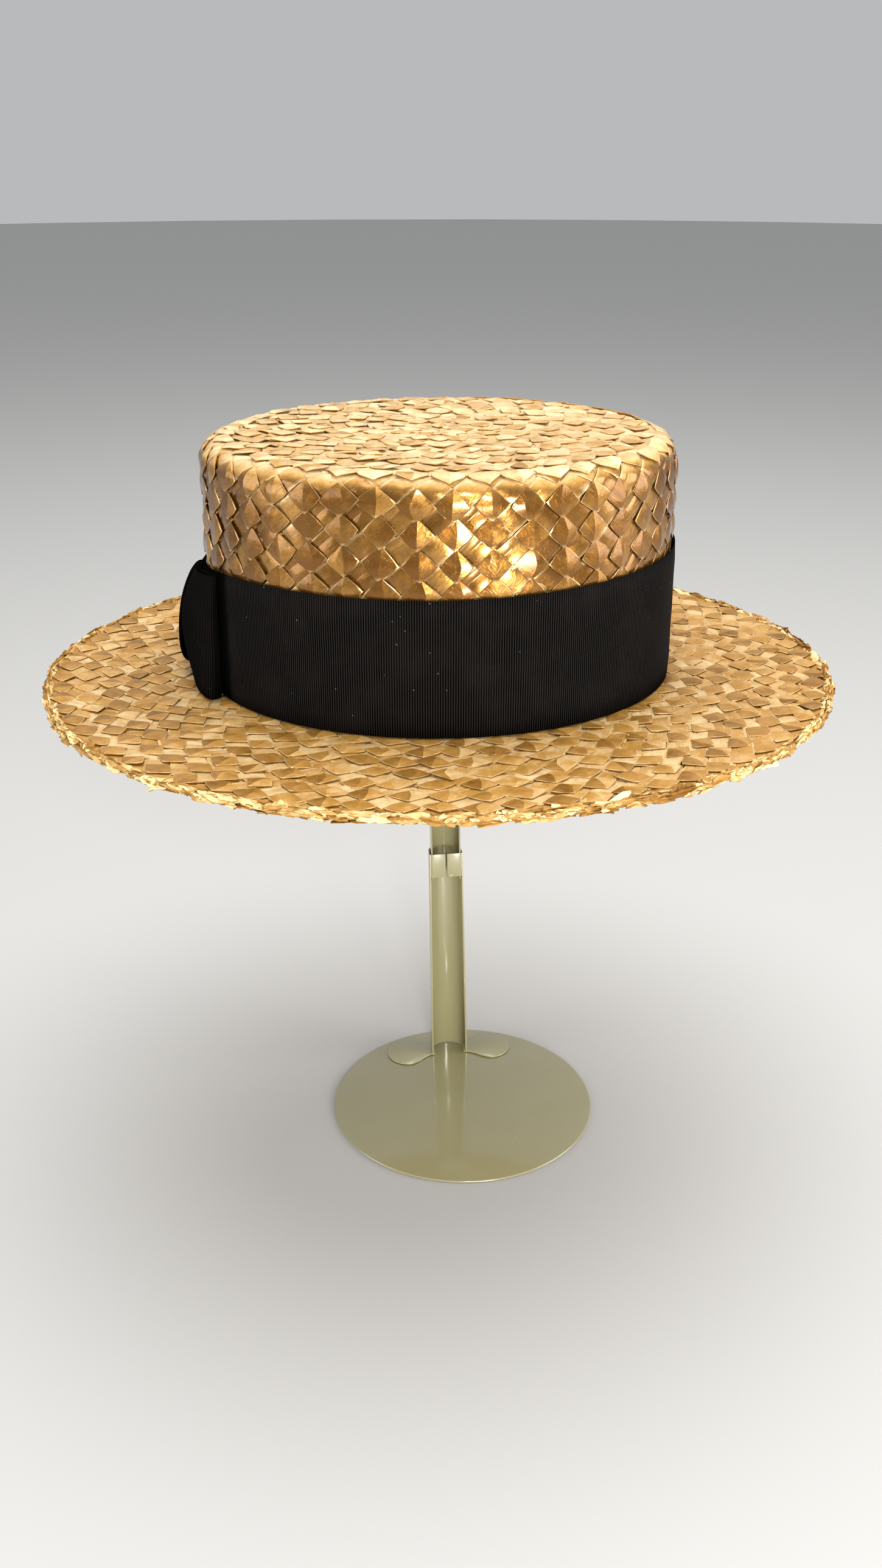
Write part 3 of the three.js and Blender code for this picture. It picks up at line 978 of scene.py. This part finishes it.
class BOATER_OT_brim(bpy.types.Operator):
    """Lays the plait over the brim, above and below, and breaks its rim"""

    bl_idname = "boater.brim"
    bl_label = "Brim"

    def execute(self, context):
        hat = context.scene.boater_hat
        finish = context.scene.boater_finish
        rng = np.random.default_rng(hat.seed + 1)
        tiles = plait_tiles(hat)
        above = []
        below = []
        last = hat.rim_radius - RIM_REACH
        rows = round((last - hat.mean_radius) / hat.brim_pitch)
        for row in range(rows):
            tip = last - row * hat.brim_pitch
            above += ring_of_plait(rng, hat, BRIM_STYLE, tip, tip, hat.brim_pitch)
            below += ring_of_plait(rng, hat, INNER_STYLE, tip, tip, hat.brim_pitch, layers=2)
        upper = lay_plait("brim_upper", hat, tiles, brim_upside, 1, hat.brim_pitch, above)
        lower = lay_plait("brim_lower", hat, tiles, brim_underside, -1, hat.brim_pitch, below)
        colours = (finish.straw_dark, finish.straw_middle, finish.straw_pale)
        straw = straw_material("brim_straw", *colours, BRIM_GLOSS)
        raw = straw_material("raw_straw", *colours[:2], finish.straw_raw, PLAIN_GLOSS)
        add_piece(joined("brim_plait", upper, self.backing(hat)), "straw", [straw], "brim")
        add_piece(joined("brim_under_plait", lower), "straw", [straw], "brim")
        add_piece(self.broken_rim(rng, hat), "straw", [raw], "brim")
        return {"FINISHED"}

    @staticmethod
    def backing(hat):
        """The straw between the tiles, thicker at the rim."""
        middle = hat.brim_top - hat.wall / 2
        inner = hat.mean_radius - hat.wall
        outer = hat.rim_radius - 1.2 * MM
        half = 0.25 * MM
        bulge = 1.6 * MM
        lip = outer - 1.0 * MM
        section = [
            (inner, middle + half),
            (outer - 9 * MM, middle + half),
            (lip, middle + bulge * 0.7),
            (outer, middle),
            (lip, middle - bulge),
            (outer - 4 * MM, middle - half),
            (inner, middle - half),
            (inner, middle + half),
        ]
        return toned(ovalised(hat, spun_shell("brim_backing", section, BRIM_SPIN)), 0.45)

    @staticmethod
    def chip():
        """One chip of raw straw, in a square of 1 by 1."""
        bm = bmesh.new()
        strand = bm.loops.layers.uv.new("strand")
        edge_layer = bm.verts.layers.float.new("edge")
        bm.faces.layers.float.new("tone")
        bmesh.ops.create_grid(bm, x_segments=6, y_segments=2, size=0.5)
        for vert in bm.verts:
            vert[edge_layer] = 0.0
            vert.co.y *= 1.0 - 0.7 * abs(2 * vert.co.x) ** 3
            vert.co.z = -0.5 * MM * (2 * vert.co.y) ** 2
        for face in bm.faces:
            for loop in face.loops:
                loop[strand].uv = loop.vert.co.xy
        give_wall(bm, CHIP_WALL, edge_layer)
        return finish_tile(bm, "rim_chip")

    def broken_rim(self, rng, hat):
        """Chips of raw straw along the rim, where its last row has worn through."""
        chip = self.chip()
        around = FULL_TURN * arc_radius(hat, hat.rim_radius, math.pi / 4)
        count = round(around / CHIP_SPACING)
        whole = bmesh.new()
        for _ in range(count):
            whole.from_mesh(chip)
        mesh = mesh_of(whole, "brim_rim")
        each = len(chip.vertices)
        local = points_of(mesh).reshape(count, each, 3)

        def one_each(values):
            return np.asarray(values)[:, None]

        long = one_each(rng.uniform(*CHIP_LENGTHS, count) * MM)
        broad = one_each(rng.uniform(*CHIP_WIDTHS, count) * MM)
        face = one_each(rng.uniform(*CHIP_FACINGS, count))
        tilt = face + one_each(0.4 * rng.standard_normal(count))
        yaw = one_each(0.16 * rng.standard_normal(count))
        curl = one_each(rng.uniform(*CHIP_CURLS, count) * MM)
        x = local[:, :, 0] * long
        y = local[:, :, 1] * broad + 0.25 * MM * rng.standard_normal((count, each))
        z = local[:, :, 2] + curl * (2 * local[:, :, 0]) ** 2 + 0.16 * MM * rng.standard_normal((count, each))
        along = x * np.cos(yaw) - y * np.sin(yaw)
        side = x * np.sin(yaw) + y * np.cos(yaw)
        out = z * np.cos(tilt) - side * np.sin(tilt)
        up = z * np.sin(tilt) + side * np.cos(tilt)
        turn = one_each(FULL_TURN * (np.arange(count) + rng.random(count)) / count)
        lift = one_each(rng.uniform(*CHIP_LIFTS, count) * MM)
        radius = hat.rim_radius - CHIP_INSET + (CHIP_OUT + lift) * np.cos(face) + out
        height = hat.brim_top - hat.wall / 2 + (CHIP_UP + lift) * np.sin(face) + up
        angle = turn + along / arc_radius(hat, radius, turn)
        px, py = oval(hat, radius, angle)
        set_points(mesh, np.stack([px, py, height], axis=2).reshape(-1, 3))
        tone = np.repeat(0.62 + 0.28 * rng.standard_normal(count), len(chip.polygons))
        tone += 0.05 * rng.standard_normal(len(tone))
        mesh.attributes["tone"].data.foreach_set("value", tone)
        return mesh


# Ribbon pieces.

# Painted shade on the ribbon, as the share of its colour that is kept, the rest going to the groove colour:
# the band by its distance from the bow, darker beside and under it, a loop by its share of its folds, darker
# on the layer against the band up to its fold, and the knot all over.
BAND_PAINTED_LIGHT = ((41.5 * MM, 45 * MM), (0.1, 1.0))
LOOP_PAINTED_LIGHT = ((0.0, 0.40, 0.47, 1.0), (0.2, 0.1, 0.6, 0.5))
KNOT_PAINTED_LIGHT = 0.2

# The ribbon's mesh: columns to each rib, and lines across the band, a loop and the knot.
RIB_COLUMNS = 4
BAND_LINES = 8
LOOP_LINES = 10
KNOT_LINES = 6

# The band thins towards its two edges, down to this share, and its creases are this deep.
HEM_GROWTH = 14
HEM_SHARE = 0.35
CREASE_DEPTH = 0.10 * MM

# A share of a fold's table over which its direction is measured.
HEADING_STEP = 0.004


def eased(table, column, share):
    """A named column of a table at a share of its length, on a smooth curve through its rows."""
    values = np.array([row[column] for row in table])
    at = np.clip(share, 0.0, 1.0) * (len(values) - 1)
    first = np.minimum(at.astype(int), len(values) - 2)
    part = at - first
    before = values[np.maximum(first - 1, 0)]
    here = values[first]
    after = values[first + 1]
    beyond = values[np.minimum(first + 2, len(values) - 1)]
    bend = 2 * before - 5 * here + 4 * after - beyond
    swing = 3 * (here - after) + beyond - before
    return here + 0.5 * part * (after - before + part * (bend + part * swing))


def ribbon_mesh(name, columns, rows, long, place, painted_light):
    """A strip of ribbon with a front, a back and two edges. place puts its points in the hat's frame.

    The last argument gives each share of the strip the part of its colour that is kept; the rest is painted
    shade.
    """
    bm = bmesh.new()
    weave = bm.loops.layers.uv.new("ribbon")
    lines = 2 * rows + 2
    bmesh.ops.create_grid(bm, x_segments=columns, y_segments=lines, size=0.5)
    for face in bm.faces:
        face.smooth = True
        for loop in face.loops:
            loop[weave].uv = ((loop.vert.co.x + 0.5) * long, loop.vert.co.y)
    mesh = mesh_of(bm, name)
    grid = points_of(mesh)
    line = np.round((grid[:, 1] + 0.5) * lines).astype(int) % lines
    front = line <= rows
    across = np.where(front, line, lines - 1 - line) / rows
    side = np.where(front, 0.5, -0.5)
    set_points(mesh, place(grid[:, 0] + 0.5, across, side))
    light = mesh.attributes.new("painted_light", "FLOAT", "POINT")
    light.data.foreach_set("value", painted_light(grid[:, 0] + 0.5))
    bm = bmesh.new()
    bm.from_mesh(mesh)
    bmesh.ops.remove_doubles(bm, verts=bm.verts, dist=0.002 * MM)
    ends = [edge for edge in bm.edges if edge.is_boundary]
    if ends:
        bmesh.ops.holes_fill(bm, edges=ends, sides=0)
    bm.to_mesh(mesh)
    bm.free()
    return mesh


def beside_band(hat, ribbon, along, off, height):
    """Points beside the band: along is measured round it from the bow's middle, towards the front."""
    turn = math.pi + along / ribbon.bow_radius
    half_length = hat.half_length + RIBBON_REACH
    half_width = hat.half_width + RIBBON_REACH
    out_x = np.cos(turn) / half_length
    out_y = np.sin(turn) / half_width
    size = np.hypot(out_x, out_y)
    x = half_length * np.cos(turn) + off * out_x / size
    y = half_width * np.sin(turn) + off * out_y / size
    return np.stack([x, y, height], axis=1)


def even_shares(path, count=400):
    """Shares of a table's length that are evenly spaced along the path it makes, and the path's length."""
    share = np.linspace(0.0, 1.0, count)
    first, second = path(share)
    walked = np.concatenate([[0.0], np.cumsum(np.hypot(np.diff(first), np.diff(second)))])
    return share, walked / walked[-1], walked[-1]


def heading(path, share):
    """The two parts of a path's direction at a share of its table."""
    ahead = path(share + HEADING_STEP)
    behind = path(share - HEADING_STEP)
    run = np.hypot(ahead[0] - behind[0], ahead[1] - behind[1])
    return (ahead[0] - behind[0]) / run, (ahead[1] - behind[1]) / run


def fold_row(along, off_low, off_middle, off_high, low, high):
    """A line across a loop, in millimetres: its place, three distances off the band and two heights."""
    names = ("along", "off_low", "off_middle", "off_high", "low", "high")
    return dict(zip(names, (value * MM for value in (along, off_low, off_middle, off_high, low, high))))


LOOP_FOLDS = (
    fold_row(2.0, 1.0, 1.0, 1.0, 8.0, 45.5),
    fold_row(13.0, 1.1, 1.1, 1.1, 5.2, 47.5),
    fold_row(25.0, 1.2, 1.2, 1.1, 2.2, 50.0),
    fold_row(36.5, 1.9, 1.7, 1.3, 0.8, 51.6),
    fold_row(38.4, 3.6, 2.9, 2.0, 0.4, 51.6),
    fold_row(37.8, 6.2, 4.8, 2.6, 0.2, 51.0),
    fold_row(34.5, 7.5, 6.4, 2.9, 0.4, 50.4),
    fold_row(26.5, 7.9, 8.9, 3.0, 1.8, 49.0),
    fold_row(17.5, 7.0, 10.2, 3.0, 4.0, 47.6),
    fold_row(9.5, 5.6, 9.0, 3.0, 6.2, 46.4),
    fold_row(5.0, 4.6, 6.8, 2.9, 7.4, 45.8),
    fold_row(2.0, 4.0, 5.4, 2.8, 8.0, 45.5),
)

# How close the rear loop's upper edge hugs the band, from this distance off it, and how much lower it is.
REAR_HUG = 0.4
REAR_OFF = 1.0 * MM
REAR_DROP = 2.5 * MM


def knot_row(up, off):
    return {"up": up * MM, "off": off * MM}


KNOT_FOLDS = (
    knot_row(45.2, 0.9),
    knot_row(44.9, 2.8),
    knot_row(42.8, 4.9),
    knot_row(37.5, 7.3),
    knot_row(31.0, 9.3),
    knot_row(24.0, 10.5),
    knot_row(17.0, 11.1),
    knot_row(11.0, 11.0),
    knot_row(7.0, 9.4),
    knot_row(5.6, 5.6),
    knot_row(5.4, 0.9),
)
KNOT_HALF_WIDTH = 7 * MM
KNOT_BULGE = 0.6 * MM


class BOATER_OT_band(bpy.types.Operator):
    """Winds the ribbed band round the crown"""

    bl_idname = "boater.band"
    bl_label = "Hat band"

    def execute(self, context):
        hat = context.scene.boater_hat
        ribbon = context.scene.boater_ribbon
        middle = hat.mean_radius + RIBBON_REACH - ribbon.wall / 2
        around = FULL_TURN * arc_radius(hat, middle, math.pi / 4)
        ribs = round(around / ribbon.rib_pitch)

        def place(share, across, side):
            turn = FULL_TURN * share
            rib = 0.5 * ribbon.rib_depth * np.sin(FULL_TURN * ribs * share)
            hem = np.minimum(1.0, HEM_GROWTH * np.minimum(across, 1.0 - across) + HEM_SHARE)
            crease = np.sin(turn * 3 + 41 * across) * np.sin(turn * 7 + 1.3) + np.sin(turn * 11 - 67 * across)
            wrinkle = CREASE_DEPTH * crease * np.sin(math.pi * across)
            radius = middle + side * ribbon.wall * hem + rib * hem * (side > 0) + wrinkle
            x, y = oval(hat, radius, turn)
            return np.stack([x, y, ribbon.low + (band_top(turn) - ribbon.low) * across], axis=1)

        # Painted shade on the band beside and under the bow.
        def painted_light(share):
            from_bow = np.abs(FULL_TURN * share - math.pi) * ribbon.bow_radius
            return np.interp(from_bow, *BAND_PAINTED_LIGHT)

        woven = ribs * ribbon.rib_pitch
        mesh = ribbon_mesh("hat_band_ribbon", ribs * RIB_COLUMNS, BAND_LINES, woven, place, painted_light)
        material = ribbon_material(context.scene.boater_finish, ribbon)
        piece = add_piece(mesh, "grosgrain", [material], "hat_band")
        return {"FINISHED"}


class BOATER_OT_bow(bpy.types.Operator):
    """Folds the bow's two loops and its knot"""

    bl_idname = "boater.bow"
    bl_label = "Bow"

    def execute(self, context):
        hat = context.scene.boater_hat
        ribbon = context.scene.boater_ribbon
        material = bpy.data.materials["ribbed_grosgrain"]
        for name, hand in (("bow_loop_front", 1), ("bow_loop_rear", -1)):
            self.loop(hat, ribbon, material, name, hand)
        self.knot(hat, ribbon, material)
        return {"FINISHED"}

    @staticmethod
    def loop(hat, ribbon, material, name, hand):
        def path(share):
            return eased(LOOP_FOLDS, "along", share), eased(LOOP_FOLDS, "off_middle", share)

        share_at, walked, long = even_shares(path)

        # Painted shade on the loop, darker on the layer against the band up to its fold.
        def painted_light(share):
            return np.interp(np.interp(share, walked, share_at), *LOOP_PAINTED_LIGHT)

        def place(share, across, side):
            rib = 0.5 * ribbon.rib_depth * np.sin(FULL_TURN * share * long / ribbon.rib_pitch)
            share = np.interp(share, walked, share_at)
            along, off = path(share)
            top = eased(LOOP_FOLDS, "off_high", share)
            high = eased(LOOP_FOLDS, "high", share)
            if hand < 0:
                across = 1.0 - across
                top = REAR_OFF + REAR_HUG * (top - REAR_OFF)
                high = high - REAR_DROP
            away = 2 * across - 1.0
            swell = away * away * np.where(away < 0.0, eased(LOOP_FOLDS, "off_low", share) - off, top - off)
            step_along, step_off = heading(path, share)
            low = eased(LOOP_FOLDS, "low", share)
            thick = side * ribbon.wall + rib * np.sign(side) * 0.5
            along = along - step_off * thick
            off = off + swell + step_along * thick
            return beside_band(hat, ribbon, hand * along, off, ribbon.low + low + (high - low) * across)

        columns = round(long / ribbon.rib_pitch) * RIB_COLUMNS
        mesh = ribbon_mesh(name + "_ribbon", columns, LOOP_LINES, long, place, painted_light)
        piece = add_piece(mesh, "grosgrain", [material], name)

    @staticmethod
    def knot(hat, ribbon, material):
        def path(share):
            return eased(KNOT_FOLDS, "off", share), eased(KNOT_FOLDS, "up", share)

        share_at, walked, long = even_shares(path)

        def place(share, across, side):
            share = np.interp(share, walked, share_at)
            off, up = path(share)
            step_off, step_up = heading(path, share)
            bulge = KNOT_BULGE * np.sin(math.pi * across) * np.sin(math.pi * share)
            thick = side * ribbon.wall
            along = KNOT_HALF_WIDTH * (2 * across - 1.0)
            off = off - step_up * thick + bulge
            return beside_band(hat, ribbon, along, off, ribbon.low + up + step_off * thick)

        # Painted shade over the whole knot.
        def painted_light(share):
            return np.full_like(share, KNOT_PAINTED_LIGHT)

        columns = round(long / ribbon.rib_pitch) * RIB_COLUMNS
        mesh = ribbon_mesh("bow_knot_ribbon", columns, KNOT_LINES, long, place, painted_light)
        piece = add_piece(mesh, "grosgrain", [material], "bow_knot")


# Stand pieces.

# Folded sheet: the rounding of its edges, the least angle of a sharp one, and the steps of its curves.
SHEET_ROUNDING = 0.15 * MM
SHARP_ANGLE = 0.9
BACK_STEPS = 24
BEND_STEPS = 6
DISC_SPIN = 128

# An ear: its lobe, its neck as distances from the post's side and front, its corner and its heel.
EAR_LOBE = 11 * MM
EAR_REACH = 12 * MM
EAR_SHIFT = 2 * MM
EAR_STEPS = 20
EAR_ROOT = 1.0 * MM
EAR_NECK = ((-EAR_ROOT, 0.5 * MM), (1.5 * MM, 0.2 * MM), (4.5 * MM, -1.6 * MM))
EAR_CORNER = (7.5 * MM, 2.4 * MM)
EAR_HEEL = 4 * MM

# A clasp tab's bend and how far behind the post's front it starts, and the slide's play inside the post.
CLASP_BEND = 1.6 * MM
CLASP_ROOT = 2.4 * MM
SLIDE_PLAY = 0.2 * MM
SLIDE_SETBACK = 0.5 * MM


def stand_matrix(stand):
    """From the stand's own frame, with its post at +Y, to the hat's."""
    middle = (base_low + base_high) / 2
    return Matrix.Translation((middle.x, middle.y, 0.0)) @ Matrix.Rotation(stand.turn, 4, "Z")


def raise_by(bm, extruded, height):
    """Lifts what was extruded, and turns all faces outwards."""
    bmesh.ops.translate(bm, vec=(0.0, 0.0, height), verts=verts_of(extruded))
    bmesh.ops.recalc_face_normals(bm, faces=bm.faces)


def sheet_strip(line, low, high, sheet):
    """A sheet-metal wall that follows a line of (x, y) points and stands from low to high."""
    bm = bmesh.new()
    edges = chain(bm, [(x, y, low) for x, y in line])[1]
    raise_by(bm, bmesh.ops.extrude_edge_only(bm, edges=edges), high - low)
    bmesh.ops.solidify(bm, geom=bm.faces, thickness=sheet)
    return bm


def centred_line(width, front, back, sheet):
    """The middle of a channel's wall: straight sides and a half-round back, open towards -Y."""
    half = (width - sheet) / 2
    centre = back - width / 2
    line = [(half, front)]
    for step in range(BACK_STEPS + 1):
        turn = math.pi * step / BACK_STEPS
        line.append((half * math.cos(turn), centre + half * math.sin(turn)))
    line.append((-half, front))
    return line


def rounded_plate(outline, low, sheet):
    bm = bmesh.new()
    face = bm.faces.new([bm.verts.new((x, y, low)) for x, y in outline])
    raise_by(bm, bmesh.ops.extrude_face_region(bm, geom=[face]), sheet)
    return bm


def softened(bm):
    """Bevels a plate's sharp edges."""
    bmesh.ops.bevel(
        bm,
        geom=[edge for edge in bm.edges if edge.calc_face_angle(0.0) > SHARP_ANGLE],
        offset=SHEET_ROUNDING,
        affect="EDGES",
        segments=2,
        profile=0.5,
        material=-1,
        clamp_overlap=True,
    )
    for face in bm.faces:
        face.smooth = True
    return bm


def ear_outline(hand, side, front, back):
    """A rounded ear that is folded out from the post's side."""
    reach = side + EAR_REACH
    middle = (front + back) / 2 - EAR_SHIFT
    outline = [(side + out, front + behind) for out, behind in EAR_NECK]
    outline.append((side + EAR_CORNER[0], middle - EAR_LOBE + EAR_CORNER[1]))
    for step in range(EAR_STEPS + 1):
        turn = -math.pi / 2 + math.pi * step / EAR_STEPS
        outline.append((reach + EAR_LOBE * math.cos(turn), middle + EAR_LOBE * math.sin(turn)))
    outline += [(side, back - EAR_HEEL), (side - EAR_ROOT, back - EAR_HEEL)]
    return [(hand * x, y) for x, y in (outline if hand > 0 else outline[::-1])]


class BOATER_OT_stand(bpy.types.Operator):
    """Folds the stand from sheet metal"""

    bl_idname = "boater.stand"
    bl_label = "Stand"

    def execute(self, context):
        stand = context.scene.boater_stand
        paint = paint_material(context.scene.boater_finish)
        place = stand_matrix(stand)
        base = self.disc("stand_base_plate", stand.base_radius, base_low.z, stand.sheet)
        base.transform(place)
        add_piece(base, "stand_paint", [paint], "stand_base")
        leaning = Matrix.Identity(4)
        leaning[0][2] = -stand.lean
        post = self.post(stand)
        post.transform(place @ leaning)
        add_piece(post, "stand_paint", [paint], "stand_post")
        slide = self.slide(stand)
        slide.transform(place @ leaning)
        add_piece(slide, "stand_paint", [paint], "stand_slide")
        radius = (head_high.x - head_low.x) / 2
        head = self.disc("stand_head_plate", radius, head_low.z, stand.sheet)
        add_piece(head, "stand_paint", [paint], "stand_head")
        return {"FINISHED"}

    @staticmethod
    def disc(name, radius, low, sheet):
        edge = sheet / 2
        section = [(0.0, low), (radius - edge, low)]
        for step in range(1, BEND_STEPS):
            turn = math.pi * step / BEND_STEPS
            section.append((radius - edge + edge * math.sin(turn), low + edge - edge * math.cos(turn)))
        section += [(radius - edge, low + sheet), (0.0, low + sheet)]
        return spun_shell(name, section, DISC_SPIN)

    @staticmethod
    def folded(name, parts):
        """Plates and strips as one mesh, their edges softened."""
        return joined(name, *[mesh_of(softened(bm), "part") for bm in parts])

    @staticmethod
    def tab(stand, hand, side, front):
        """The line of a clasp tab, which bends from the post's side across its front."""
        strip = stand.strip
        line = [(side - strip / 2, front + CLASP_ROOT)]
        for step in range(BEND_STEPS + 1):
            turn = 0.5 * math.pi * step / BEND_STEPS
            across = side - strip / 2 - CLASP_BEND + CLASP_BEND * math.cos(turn)
            line.append((across, front + CLASP_BEND - strip / 2 - CLASP_BEND * math.sin(turn)))
        line.append((stand.clasp_seam / 2, front - strip / 2))
        return [(hand * x, y) for x, y in line]

    def post(self, stand):
        side = stand.post_width / 2
        front = stand.post_back - stand.post_depth
        strip = stand.strip
        line = centred_line(stand.post_width, front, stand.post_back, strip)
        channel = sheet_strip(line, post_low.z, stand.clasp_high, strip)
        for vert in channel.verts:
            vert.co.x *= 1.0 + stand.flare * (1.0 - vert.co.z / stand.clasp_high)
        parts = [channel]
        for hand in (-1, 1):
            ear = ear_outline(hand, side, front, stand.post_back)
            parts.append(rounded_plate(ear, post_low.z, strip))
            tab = self.tab(stand, hand, side, front)
            parts.append(sheet_strip(tab, stand.clasp_low, stand.clasp_high, strip))
        return self.folded("stand_post_channel", parts)

    def slide(self, stand):
        strip = stand.strip
        inset = strip + SLIDE_PLAY
        width = stand.post_width - 2 * inset
        front = stand.post_back - stand.post_depth + SLIDE_SETBACK
        back = stand.post_back - inset
        line = centred_line(width, front, back, strip)
        parts = [sheet_strip(line, slide_low.z, slide_high.z, strip)]
        for hand in (-1, 1):
            ear = ear_outline(hand, width / 2, front, back)
            parts.append(rounded_plate(ear, slide_high.z - strip, strip))
        return self.folded("stand_slide_channel", parts)


# Stage.

FLOOR_RADIUS = 6.0
FLOOR_DROP = 0.2 * MM
SKY_COLOUR = (0.97, 0.98, 1.0, 1.0)
SKY_STRENGTH = 0.5

# Soft round lights, all aimed at the hat, with their power in watts.
Light = namedtuple("Light", "name place size power tint")
LIGHTS = (
    Light("overhead", (0.1, 0.2, 1.7), 1.8, 31.0, (1.0, 0.98, 0.95)),
    Light("left", (-1.3, -0.3, 0.5), 0.9, 6.0, (0.97, 0.98, 1.0)),
    Light("right", (1.3, -0.3, 0.5), 0.9, 10.0, (1.0, 0.98, 0.96)),
    Light("front_right", (0.35, -1.3, 0.14), 0.32, 12.0, (1.0, 0.97, 0.92)),
    Light("high_front", (0.05, -1.3, 0.76), 0.22, 8.5, (1.0, 0.98, 0.96)),
)
LIGHT_AIM = Vector((0.0, 0.0, 0.27))

# The camera that was fitted to the photograph: its place, its tilt below the level, its turn and its lens.
CAMERA_PLACE = (-0.0421, -0.6300, 0.4491)
CAMERA_TILT = 0.418
CAMERA_TURN = -0.068
CAMERA_LENS = 35.48
CAMERA_SENSOR = 36.0
CAMERA_NEAR = 0.01


def area_light(light):
    data = bpy.data.lights.new(light.name, "AREA")
    data.shape = "DISK"
    data.size = light.size
    data.energy = light.power
    data.color = light.tint
    lamp = bpy.data.objects.new(light.name, data)
    bpy.context.scene.collection.objects.link(lamp)
    lamp.visible_camera = False
    lamp.location = light.place
    direction = LIGHT_AIM - lamp.location
    lamp.rotation_euler = direction.to_track_quat("-Z", "Y").to_euler()


class BOATER_OT_stage(bpy.types.Operator):
    """Sets the floor, the lights and the camera"""

    bl_idname = "boater.stage"
    bl_label = "Stage"

    def execute(self, context):
        scene = context.scene
        bm = bmesh.new()
        bmesh.ops.create_circle(bm, cap_ends=True, radius=FLOOR_RADIUS, segments=64)
        bmesh.ops.translate(bm, vec=(0.0, 0.0, -FLOOR_DROP), verts=bm.verts)
        floor = bpy.data.objects.new("floor", mesh_of(bm, "floor"))
        material, _, shader = new_material("floor_white")
        shader.inputs["Base Color"].default_value = scene.boater_finish.floor
        shader.inputs["Roughness"].default_value = 0.55
        floor.data.materials.append(material)
        scene.collection.objects.link(floor)

        world = bpy.data.worlds.new("studio")
        world.use_nodes = True
        sky = world.node_tree.nodes["Background"]
        sky.inputs["Color"].default_value = SKY_COLOUR
        sky.inputs["Strength"].default_value = SKY_STRENGTH
        scene.world = world
        for light in LIGHTS:
            area_light(light)

        view = bpy.data.cameras.new("camera")
        view.sensor_width = CAMERA_SENSOR
        view.lens = CAMERA_LENS
        view.clip_start = CAMERA_NEAR
        camera = bpy.data.objects.new("camera", view)
        camera.location = CAMERA_PLACE
        camera.rotation_euler = (math.pi / 2 - CAMERA_TILT, 0.0, CAMERA_TURN)
        scene.collection.objects.link(camera)
        scene.camera = camera
        scene.view_settings.view_transform = "Standard"
        return {"FINISHED"}


class BOATER_PT_pieces(bpy.types.Panel):
    """Lists the boater's sizes, colours and pieces"""

    bl_label = "Straw boater"
    bl_idname = "BOATER_PT_pieces"
    bl_space_type = "VIEW_3D"
    bl_region_type = "UI"
    bl_category = "Boater"

    def draw(self, context):
        layout = self.layout
        scene = context.scene
        for group in (scene.boater_hat, scene.boater_ribbon, scene.boater_stand, scene.boater_finish):
            box = layout.box()
            for name in group.bl_rna.properties.keys():
                if name not in ("rna_type", "name"):
                    box.prop(group, name)
        for operator in OPERATORS:
            layout.operator(operator.bl_idname)


OPERATORS = (
    BOATER_OT_stage,
    BOATER_OT_crown,
    BOATER_OT_brim,
    BOATER_OT_band,
    BOATER_OT_bow,
    BOATER_OT_stand,
)
GROUPS = {
    "boater_hat": HatSizes,
    "boater_ribbon": RibbonSizes,
    "boater_stand": StandSizes,
    "boater_finish": Finishes,
}


def register():
    for made in (*GROUPS.values(), *OPERATORS, BOATER_PT_pieces):
        bpy.utils.register_class(made)
    for name, group in GROUPS.items():
        setattr(bpy.types.Scene, name, bpy.props.PointerProperty(type=group))


def unregister():
    for name in GROUPS:
        delattr(bpy.types.Scene, name)
    for made in reversed((*GROUPS.values(), *OPERATORS, BOATER_PT_pieces)):
        bpy.utils.unregister_class(made)


def main():
    register()
    bpy.ops.boater.stage()
    bpy.ops.boater.crown()
    bpy.ops.boater.brim()
    bpy.ops.boater.band()
    bpy.ops.boater.bow()
    bpy.ops.boater.stand()


if __name__ == "__main__":
    main()
